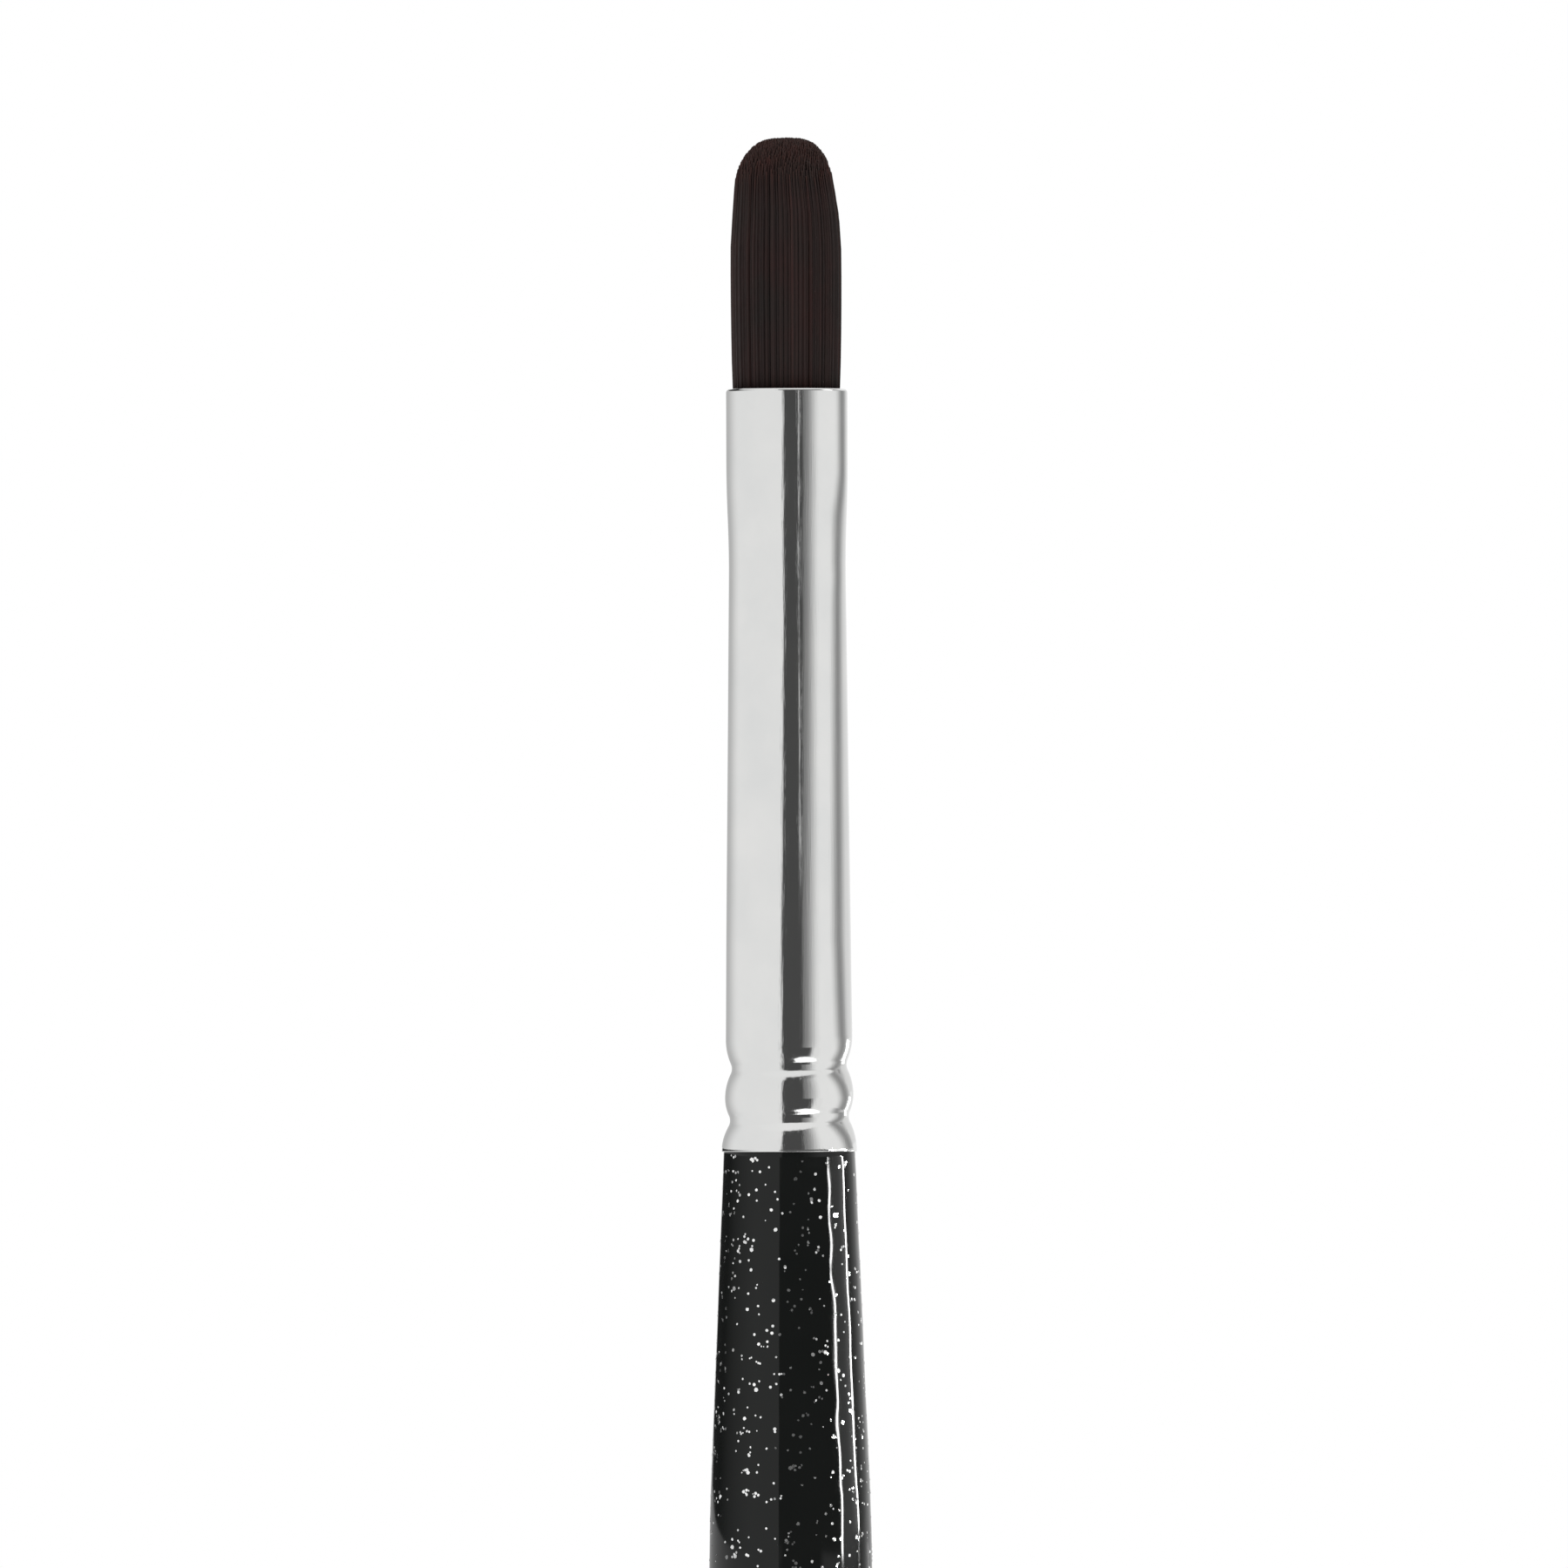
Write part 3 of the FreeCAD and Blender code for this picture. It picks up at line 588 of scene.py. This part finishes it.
def makeFlakes(shape, material):
    # Each flake is a low flat plate: an upper rim and, a little smaller, a lower rim.
    random = np.random.default_rng(shape["seed"])
    count, sides = shape["count"], shape["sides"]
    tries = 3 * count
    highest = rimHeight - shape["underRim"]
    height = random.uniform(shape["lowest"], highest, tries)
    kept = random.uniform(0, bellyRadius, tries) < handleRadius(height, handleShape)
    height = height[kept][:count]
    angle = random.uniform(0, 2 * math.pi, count)
    width = np.clip(np.exp(random.normal(math.log(shape["width"]), shape["widthSpread"], count)),
                    *shape["limits"])
    follows = random.uniform(0, 1, count) < shape["clustered"]
    leader = np.maximum(np.arange(count) - random.integers(1, 3, count), 0)
    for _ in range(2):                # twice, so that short chains form
        heading = random.uniform(0, 2 * math.pi, count)
        reach = (width + width[leader]) * shape["touching"]
        beside = height[leader] + reach * np.sin(heading)
        turn = angle[leader] + reach * np.cos(heading) / handleRadius(height[leader], handleShape)
        height = np.where(follows, np.clip(beside, shape["lowestBeside"], highest), height)
        angle = np.where(follows, turn, angle)

    radius = handleSkinRadius(height, angle, handleShape)
    near = 0.05
    slope = (handleRadius(height + near, handleShape)
             - handleRadius(height - near, handleShape)) / (2 * near)
    lean = -np.arctan(slope) + np.radians(random.normal(0, shape["tilt"], count))
    swing = angle + np.radians(random.normal(0, shape["tilt"], count))
    outward = np.stack([np.cos(lean) * np.cos(swing), np.cos(lean) * np.sin(swing),
                        np.sin(lean)], -1)
    sideways = np.stack([-np.sin(swing), np.cos(swing), 0 * swing], -1)
    upward = np.cross(outward, sideways)
    centre = np.stack([radius * np.cos(angle), radius * np.sin(angle), height], -1)

    corner = (np.arange(sides) + 0.5) / sides * 2 * math.pi
    spin = random.uniform(0, 2 * math.pi, count)[:, None] + corner[None, :]
    ragged = width[:, None] / 2 * random.uniform(0.86, 1.08, (count, sides))
    flat = (ragged * np.cos(spin))[..., None] * sideways[:, None] + (
        ragged * np.sin(spin))[..., None] * upward[:, None]
    proud = shape["proud"] * random.uniform(0.3, 1.6, count)[:, None, None]
    rim = centre[:, None] + flat + proud * outward[:, None]
    lower = centre[:, None] + flat * shape["footShare"] - shape["sunk"] * outward[:, None]
    points = np.concatenate([rim, lower], axis=1)
    perFlake = 2 * sides
    first = np.arange(count)[:, None, None] * perFlake
    here, after = np.arange(sides), (np.arange(sides) + 1) % sides
    top = here[None, None] + first
    wall = np.stack([here + sides, after + sides, after, here], -1)[None] + first
    foot = (sides + np.arange(sides)[::-1])[None, None] + first
    faceSets = [top.reshape(-1, sides), wall.reshape(-1, 4), foot.reshape(-1, sides)]
    flakes = makePiece("silver_flakes", points.reshape(-1, 3), faceSets, material, smooth=False)
    tone = np.repeat(random.uniform(0.0, 1.0, count), perFlake)
    paintPoints(flakes, "flakeTone", tone)
    return flakes


def makeSilverFlake():
    # Polished foil; every flake has its own tone.
    material, tree, shader = newMaterial("silverFlake", Metallic=1.0)
    tone = addNode(tree, "ShaderNodeAttribute", {"attribute_name": "flakeTone"}).outputs["Fac"]
    colour = mixColours(tree, tone, (0.80, 0.81, 0.81), (0.97, 0.97, 0.96))
    tree.links.new(colour, shader.inputs["Base Color"])
    rough = useGroup(tree, mottleGroup, Size=5000.0, Low=0.12, High=0.24)
    tree.links.new(rough, shader.inputs["Roughness"])
    return material


silverFlakes = makeFlakes(flakeShape, makeSilverFlake())
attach(silverFlakes, "brush")
print("flakes made,", len(silverFlakes.data.polygons), "faces")


# Tuft: free filaments, one by one.

tuftShape = {
    "count": 1950,
    "thick": 0.150,
    "rootRadius": 1.923,             # of the bundle, to the outermost filament's middle
    "belly": 0.062,
    "bellyRun": 9.0,
    "nip": 0.012,                    # drawn in at the mouth
    "nipRun": 0.3,
    "pullStart": 5.0,                # height over the mouth where the sides start to close
    "pull": 0.142,
    "pullRun": 2.42,
    "pullPower": 1.5,
    "leanAside": 0.07,
    "leanHeight": 7.9,
    "leanRun": 0.95,
    "domeFoot": 7.6,
    "domePower": 3.4,
    "domeGap": 0.015,                # the highest filament ends this far under the dome
    "scatter": 0.03,                 # of the tips' heights
    "shortest": 0.15,                # a few end this much lower
    "clumps": 150,
    "clumping": 0.06,
    "clumpPower": 2.2,
    "wander": 0.007,
    "wanderFrom": 2.5,               # the wander is full from this height up
    "taperFrom": 0.72,               # share of the length
    "taper": 0.62,                   # share of the thickness lost at the tip
    "taperPower": 1.6,
    "point": 0.035,
    "bendRun": 4.2,
    "rings": 9,
    "sides": 4,
    "tipTint": (1.5, 1.2, 1.1),      # how much paler and redder the very tips are
    "seatRise": 0.83,
    "seatRadius": 1.965,
    "seed": 5,
}


def tuftRadius(height, shape):
    # Root radius, plus a half sine wave for the belly, less the nip at the mouth and the pull
    # of the upper third, which grows as a power of the height over its start.
    run = shape["bellyRun"]
    belly = shape["belly"] * np.sin(math.pi * np.clip(height, 0, run) / run)
    nip = shape["nip"] * np.exp(-np.maximum(height, 0) / shape["nipRun"])
    climbed = np.maximum(height - shape["pullStart"], 0) / shape["pullRun"]
    pull = shape["pull"] * climbed ** shape["pullPower"]
    return shape["rootRadius"] + belly - nip - pull


def makeTuft(shape, material):
    # Filament n of N stands at a sunflower seed's place: radius sqrt(n / N), angle n * 137.5
    # degrees. It follows the bundle's outline and ends at the dome over its place.
    random = np.random.default_rng(shape["seed"])
    count, rings, sides = shape["count"], shape["rings"], shape["sides"]
    number = np.arange(count) + 0.5
    share = np.clip(np.sqrt(number / count) + random.normal(0, 0.004, count), 0, 1)
    angle = number * math.radians(137.50776) + random.normal(0, 0.01, count)
    topHeight = tipHeight - mouthHeight
    dome = np.sqrt(np.maximum(1 - share ** shape["domePower"], 0))
    endHeight = shape["domeFoot"] + (topHeight - shape["domeFoot"] - shape["domeGap"]) * dome
    endHeight -= np.abs(random.normal(0, shape["scatter"], count))
    endHeight -= shape["shortest"] * random.uniform(0, 1, count) ** 9
    rootAcross = share * tuftRadius(0.0, shape)
    inSeat = np.sqrt(np.maximum(shape["seatRadius"] ** 2 - rootAcross ** 2, 0))
    startHeight = np.minimum(shape["seatRise"] - inSeat, -0.03)

    along = np.interp(np.arange(rings), [0, rings - 2, rings - 1], [0, 0.95, 1.0])[None, :]
    height = startHeight[:, None] + (endHeight - startHeight)[:, None] * along
    across = share[:, None] * tuftRadius(height, shape)
    lean = -shape["leanAside"] * np.exp(
        -((height - shape["leanHeight"]) / shape["leanRun"]) ** 2)
    x = across * np.cos(angle)[:, None] + lean
    y = across * np.sin(angle)[:, None]

    leaders = random.choice(count, shape["clumps"], replace=False)
    rootX, rootY = share * np.cos(angle), share * np.sin(angle)
    apart = (rootX[:, None] - rootX[leaders]) ** 2 + (rootY[:, None] - rootY[leaders]) ** 2
    mine = leaders[np.argmin(apart, axis=1)]
    risen = (np.maximum(height, 0) / topHeight) ** shape["clumpPower"]
    gather = shape["clumping"] * risen * random.uniform(0.3, 1.0, count)[:, None]
    middle = tuftRadius(height, shape)
    x += gather * (rootX[mine] - rootX)[:, None] * middle
    y += gather * (rootY[mine] - rootY)[:, None] * middle
    free = np.clip(height / shape["wanderFrom"], 0, 1)
    for axis in (x, y):
        phase = random.uniform(0, 2 * math.pi, count)[:, None]
        waves = random.uniform(0.5, 1.6, count)[:, None]
        size = shape["wander"] * random.uniform(0.2, 1.0, count)[:, None]
        axis += free * size * np.sin(2 * math.pi * waves * along + phase)

    spin = random.uniform(0, 2 * math.pi, count)[:, None, None] + (
        np.arange(sides) / sides * 2 * math.pi)[None, None, :]
    late = np.maximum(along - shape["taperFrom"], 0) / (1 - shape["taperFrom"])
    taper = 1 - shape["taper"] * late ** shape["taperPower"]
    thick = shape["thick"] / 2 * random.uniform(0.85, 1.12, count)[:, None] * taper
    height += mouthHeight
    ring = np.stack([x[..., None] + thick[..., None] * np.cos(spin),
                     y[..., None] + thick[..., None] * np.sin(spin),
                     height[..., None] + 0 * spin], axis=-1)
    tip = np.stack([x[:, -1], y[:, -1], height[:, -1] + shape["point"]], -1)[:, None, :]
    perStrand = rings * sides + 1
    points = np.concatenate([ring.reshape(count, -1, 3), tip], axis=1)
    first = np.arange(count)[:, None, None] * perStrand
    body = gridFaces(rings, sides)[None] + first
    point = fanFaces((rings - 1) * sides, sides, rings * sides, upwards=True)[None] + first
    foot = np.arange(sides)[::-1][None, None] + first
    faceSets = [body.reshape(-1, 4), point.reshape(-1, 3), foot.reshape(-1, sides)]
    tuft = makePiece("tuft_filaments", points.reshape(-1, 3), faceSets, material)

    # most filaments are brown black, some warmer, a few red brown
    mood = random.uniform(0, 1, count)
    colours = np.array([[0.0215, 0.0172, 0.0160], [0.0245, 0.0178, 0.0162],
                        [0.0290, 0.0185, 0.0165]])
    pick = np.select([mood < 0.58, mood < 0.93], [0, 1], 2)
    tint = (colours[pick] * random.uniform(0.93, 1.08, count)[:, None])[:, None, :]
    worn = np.append(np.repeat(along[0] ** 45, sides), 1.0)[None, :, None]
    tint = tint * (1 - worn) + worn * tint * np.array(shape["tipTint"])
    tint = np.concatenate([tint, np.ones((count, perStrand, 1))], axis=2)
    paintPoints(tuft, "filamentTint", tint.reshape(-1, 4))
    return tuft


def makeDarkFilament():
    # Each filament's own tint, paler in fine streaks and redder in soft blotches.
    material, tree, shader = newMaterial("darkFilament", IOR=1.22)
    tint = addNode(tree, "ShaderNodeAttribute", {"attribute_name": "filamentTint"})
    streak = useGroup(tree, linesGroup, Stretch=(1.0, 1.0, 0.12), Size=9000.0, Sharpness=0.3)
    paler = addNode(tree, "ShaderNodeVectorMath", {"operation": "MULTIPLY"})
    tree.links.new(tint.outputs["Color"], paler.inputs[0])
    paler.inputs[1].default_value = (1.25, 1.18, 1.15)
    colour = mixColours(tree, streak, tint.outputs["Color"], paler.outputs[0])
    blotch = useGroup(tree, mottleGroup, Size=650.0)
    redder = addNode(tree, "ShaderNodeVectorMath", {"operation": "MULTIPLY"})
    tree.links.new(colour, redder.inputs[0])
    redder.inputs[1].default_value = (1.30, 0.93, 0.95)
    colour = mixColours(tree, blotch, colour, redder.outputs[0])
    tree.links.new(colour, shader.inputs["Base Color"])
    rough = useGroup(tree, mottleGroup, Size=2500.0, Low=0.48, High=0.62)
    tree.links.new(rough, shader.inputs["Roughness"])
    return material


tuft = makeTuft(tuftShape, makeDarkFilament())
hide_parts("filament_head")
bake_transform(tuft)
print("tuft made,", len(tuft.data.polygons), "faces")


# What is inside: core, coats, glues, thread and the held filaments.

def makeTurnedWood():
    # Pale wood with darker lines along the grain.
    material, tree, shader = newMaterial("turnedWood", Roughness=0.55)
    lines = useGroup(tree, linesGroup, Stretch=(1.0, 1.0, 0.04), Size=3500.0, Sharpness=0.22)
    mottle = useGroup(tree, mottleGroup, Size=150.0)
    warm = mixColours(tree, mottle, (0.42, 0.26, 0.14), (0.52, 0.34, 0.19))
    tree.links.new(mixColours(tree, lines, warm, (0.27, 0.15, 0.075)), shader.inputs["Base Color"])
    addBump(tree, shader, lines, 0.3, 0.00003)
    return material


def makeUnderCoat():
    # Plain black lacquer under the glitter coat.
    material, tree, shader = newMaterial("underCoat", IOR=1.45)
    mottle = useGroup(tree, mottleGroup, Size=500.0)
    colour = mixColours(tree, mottle, (0.006, 0.006, 0.006), (0.012, 0.012, 0.011))
    tree.links.new(colour, shader.inputs["Base Color"])
    rough = useGroup(tree, mottleGroup, Size=1400.0, Low=0.2, High=0.35)
    tree.links.new(rough, shader.inputs["Roughness"])
    return material


def makeCuredGlue(name, pale, deep):
    # Set resin, from pale to deep in soft patches.
    material, tree, shader = newMaterial(name)
    mottle = useGroup(tree, mottleGroup, Size=1200.0)
    tree.links.new(mixColours(tree, mottle, pale, deep), shader.inputs["Base Color"])
    rough = useGroup(tree, mottleGroup, Size=2600.0, Low=0.16, High=0.34)
    tree.links.new(rough, shader.inputs["Roughness"])
    peel = useGroup(tree, peelGroup, Size=2200.0)
    addBump(tree, shader, peel, 0.4, 0.00002)
    return material


def makeCottonThread():
    # Dull thread with fibres round it.
    material, tree, shader = newMaterial("cottonThread", Roughness=0.85)
    fibres = useGroup(tree, linesGroup, Stretch=(0.5, 0.5, 1.0), Size=16000.0, Sharpness=0.3)
    colour = mixColours(tree, fibres, (0.72, 0.68, 0.60), (0.50, 0.45, 0.38))
    tree.links.new(colour, shader.inputs["Base Color"])
    addBump(tree, shader, fibres, 0.5, 0.00001)
    return material


def makeHeldFilament():
    # The bundle inside the ferrule: dark, with lines along it.
    material, tree, shader = newMaterial("heldFilament", Roughness=0.5)
    lines = useGroup(tree, linesGroup, Stretch=(1.0, 1.0, 0.03), Size=9000.0, Sharpness=0.3)
    colour = mixColours(tree, lines, (0.006, 0.005, 0.005), (0.03, 0.02, 0.017))
    tree.links.new(colour, shader.inputs["Base Color"])
    addBump(tree, shader, lines, 0.6, 0.00004)
    return material


insideMaterials = {
    "handle_core": makeTurnedWood(),
    "colour_lacquer": makeUnderCoat(),
    "handle_glue": makeCuredGlue("handleGlue", (0.46, 0.35, 0.17), (0.34, 0.23, 0.10)),
    "root_glue": makeCuredGlue("rootGlue", (0.50, 0.33, 0.13), (0.33, 0.19, 0.07)),
    "binding_thread": makeCottonThread(),
    "filament_heel": makeHeldFilament(),
}
for node, material in insideMaterials.items():
    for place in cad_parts[node].material_slots:
        place.material = material
print("inside pieces finished")


# Studio: white tent, dark flags that shape the reflections, strips and a pale floor.

studio = {
    "tent": 1.0,
    "floorRadius": 1.2,              # this and all the studio's lengths are metres
    "floorTone": 0.80,
    "mirrorRadius": 0.00215,         # of the ferrule, for taking the near cards' parallax off
    # shares of the sway by angle, for the middle part and for the right part
    "middlePart": [(-30, 0), (-12, 1), (58, 1), (80, 0)],
    "rightPart": [(78, 0), (92, 1), (142, 1), (180, 0)],
    # what the ferrule mirrors, a white tent with three dark flags: degrees to the right of the
    # camera, brightness, eased from point to point
    "pattern": [(-180, 0.55), (-155, 0.55), (-105, 0.98), (-11, 0.98), (-8, 0.08), (26, 0.08),
                (31, 0.25), (64, 1.0), (88, 1.0), (116, 0.33), (145, 0.85), (180, 0.95)],
    # how far the flags lean to the right: height, middle flag, right flag
    "sway": [(0.138, -3.5, 9), (0.146, -3.5, -10), (0.160, 2.5, 0), (0.164, 2.5, 15)],
    # cards that carry it: from, to in degrees, then the (distance, height) points that the
    # upright section runs through
    "nearCards": {
        "nearTent": (-180, 180, [(0.05, 0.1412), (0.05, 0.146), (0.05, 0.160), (0.05, 0.164),
                                 (0.05, 0.179)]),
        "collarFront": (-180, 131, [(0.012, 0.1387), (0.012, 0.146), (0.012, 0.147)]),
        "collarBack": (149, 180, [(0.012, 0.1387), (0.012, 0.147)]),
        "guardLeft": (-180, -60, [(0.0048, 0.1382), (0.012, 0.1387)]),
        "guardRight": (66, 130, [(0.0048, 0.1382), (0.012, 0.1387)]),
    },
    # the other cards: (degrees, brightness) points from left to right, the (distance, height)
    # points of the section, then the (height, middle, right) points of their sway
    "cards": {
        "farLeft": ([(-165, 0.03), (-130, 0.03), (-50, 1.0)], [(0.9, 0.01), (0.9, 0.85)],
                    [(0, 0, 0)]),
        "farDark": ([(-17, 0.12), (76, 0.12)], [(0.9, 0.01), (0.9, 0.85)], [(0, 0, 0)]),
        "farRight": ([(83, 1.3), (98, 1.3), (114, 2.4), (115, 0.36), (146, 0.80)],
                     [(0.9, 0.01), (0.9, 0.12), (0.9, 0.148), (0.9, 0.18), (0.9, 0.195),
                      (0.9, 0.85)],
                     [(0.12, 0, 0), (0.148, 0, -4.5), (0.18, 0, -8.5), (0.195, 0, -13.5)]),
        "lowTent": ([(-180, 0.55), (-100, 0.98), (-14, 0.98), (-11, 0.08), (40, 0.08),
                     (50, 0.95), (90, 1.0), (115, 0.38), (142, 0.90), (180, 0.95)],
                    [(0.046, 0.06), (0.35, 0.06), (0.88, 0.115)], [(0, 0, 0)]),
        "edgeGlint": ([(134, 3.0), (147, 3.0)], [(0.24, 0.062), (0.35, 0.062), (0.75, 0.104)],
                      [(0, 0, 0)]),
    },
    # sparks, lens-shaped cards that lie under the crimps: brightness, (from, to) in degrees,
    # (nearest, furthest) distance, height
    "sparks": {
        "lowSpark": (1.8, (10, 76), (0.076, 0.122), 0.061),
    },
    # strips: brightness, width in degrees, distance, then (height, degrees to the right)
    "strips": {
        "thinStrip": (0.62, 2.2, 0.0495, [(0.1493, 21.8), (0.176, 21.8)]),
        "firstStrip": (72.0, 3.2, 0.88, [(0.05, 79.5), (0.145, 79.5), (0.165, 77), (0.190, 70)]),
        "secondStrip": (72.0, 3.0, 0.88, [(0.05, 114.5), (0.12, 114.5), (0.148, 110),
                                          (0.180, 106), (0.195, 101)]),
    },
}


def makeCard(name, points, glow):
    # An emitter from a grid of points in metres, its brightness given for every point.
    rows, columns = glow.shape
    row, column = np.meshgrid(np.arange(rows - 1), np.arange(columns - 1), indexing="ij")
    corner = (row * columns + column).reshape(-1)
    faces = np.stack([corner, corner + columns, corner + columns + 1, corner + 1], -1)
    material = bpy.data.materials.new(name)
    material.use_nodes = True
    material.cycles.emission_sampling = "NONE"   # found by bounced rays only
    tree = material.node_tree
    tree.nodes.clear()
    level = addNode(tree, "ShaderNodeAttribute", {"attribute_name": "glow"}).outputs["Fac"]
    light = addNode(tree, "ShaderNodeEmission", Strength=level)
    output = addNode(tree, "ShaderNodeOutputMaterial")
    tree.links.new(light.outputs[0], output.inputs["Surface"])
    card = makePiece(name, points.reshape(-1, 3) / mm, [faces], material)
    paintPoints(card, "glow", glow.reshape(-1))
    card.visible_camera = False
    card.visible_diffuse = False
    card.visible_shadow = False


def roundBrush(distance, angle, height):
    # x = d sin a, y = -d cos a, with the angle in degrees to the right of the camera
    a = np.radians(angle)
    return np.stack([distance * np.sin(a), -distance * np.cos(a), height + 0 * a], axis=-1)


def easedLevels(angle, profile):
    # Between two points of the profile the brightness goes by 3 t^2 - 2 t^3, t being the way.
    stops, levels = np.array(profile).T
    place = np.interp(angle, stops, np.arange(len(stops)))
    before = np.minimum(place.astype(int), len(stops) - 2)
    way = place - before
    return levels[before] + np.diff(levels)[before] * way ** 2 * (3 - 2 * way)


def bentCard(name, profile, ends, section, sway, reach):
    # A card bent round the brush; its brightness runs from point to point of the profile. The
    # sway turns the profile's middle and its right part, each by its own angle for the height.
    # A mirror of radius r shows a card at distance d turned by the angle whose sine is
    # r / d sin(a / 2), which is taken off again.
    angles = np.array(profile)[:, 0]
    fine = np.concatenate([angles, np.arange(ends[0], ends[1], 3.0), ends])
    fine = np.unique(np.clip(fine, *ends))
    distance, height = np.array(section).T[..., None]
    glow = easedLevels(fine, profile)[None, :] + 0 * distance
    level, middle, right = np.array(sway).T
    turned = fine[None, :]
    for part, shift in (("middlePart", middle), ("rightPart", right)):
        turned = turned + np.interp(height, level, shift) * np.interp(
            fine, *np.array(studio[part]).T)
    turned = turned - np.degrees(np.arcsin(reach / distance * np.sin(np.radians(turned / 2))))
    makeCard(name, roundBrush(distance, turned, height), glow)


def makeStrip(name, bright, width, distance, path):
    # A narrow upright card whose middle follows a path of heights and angles.
    height, angle = np.array(path).T[..., None]
    across = angle + np.array([[-width / 2, width / 2]])
    makeCard(name, roundBrush(distance, across, height), np.full(across.shape, bright))


def makeSpark(name, bright, angles, distances, height):
    # A flat lens with pointed ends: at share t of the way its width is the full one times
    # 1 - (2 t - 1)^2.
    share = np.linspace(0, 1, 25)
    angle = angles[0] + (angles[1] - angles[0]) * share
    middle, half = sum(distances) / 2, (distances[1] - distances[0]) / 2
    reach = half * (1 - (2 * share - 1) ** 2)
    distance = np.stack([middle - reach, middle + reach])
    makeCard(name, roundBrush(distance, angle[None, :], height + 0 * distance),
             np.full(distance.shape, bright))


def makeFloor():
    # A flat disc with a slightly thick edge: rings at a few radii, closed underneath.
    around = 96
    radius = np.array([0.3, 0.8, 1.0, 1.0, 0.5]) * studio["floorRadius"] / mm
    height = np.array([0.0, 0.0, -0.4, -6.0, -6.0])
    angle = np.arange(around) / around * 2 * math.pi
    ring = np.stack([radius[:, None] * np.cos(angle), radius[:, None] * np.sin(angle),
                     height[:, None] + 0 * angle], axis=-1).reshape(-1, 3)
    points = np.concatenate([ring, [[0, 0, 0], [0, 0, -6.0]]])
    rows = len(radius)
    faceSets = [gridFaces(rows, around)[:, ::-1], fanFaces(0, around, rows * around, True),
                fanFaces((rows - 1) * around, around, rows * around + 1, False)]
    material, tree, shader = newMaterial("floorPaper", Roughness=0.9)
    tone = studio["floorTone"]
    mottle = useGroup(tree, mottleGroup, Size=40.0)
    colour = mixColours(tree, mottle, (tone, tone, tone), (tone * 0.99, tone * 0.99, tone * 0.985))
    tree.links.new(colour, shader.inputs["Base Color"])
    floor = makePiece("floor", points, faceSets, material)


def makeTent():
    # An even white surround, and colours shown as they are.
    world = bpy.data.worlds.new("tent")
    world.use_nodes = True
    world.node_tree.nodes["Background"].inputs["Color"].default_value = (1, 1, 1, 1)
    world.node_tree.nodes["Background"].inputs["Strength"].default_value = studio["tent"]
    bpy.context.scene.world = world
    bpy.context.scene.view_settings.view_transform = "Standard"


makeTent()
makeFloor()
for title, (first, last, section) in studio["nearCards"].items():
    bentCard(title, studio["pattern"], (first, last), section, studio["sway"],
             studio["mirrorRadius"])
for title, (profile, section, sway) in studio["cards"].items():
    bentCard(title, profile, (profile[0][0], profile[-1][0]), section, sway, 0.0)
for title, values in studio["strips"].items():
    makeStrip(title, *values)
for title, values in studio["sparks"].items():
    makeSpark(title, *values)
print("studio lit")
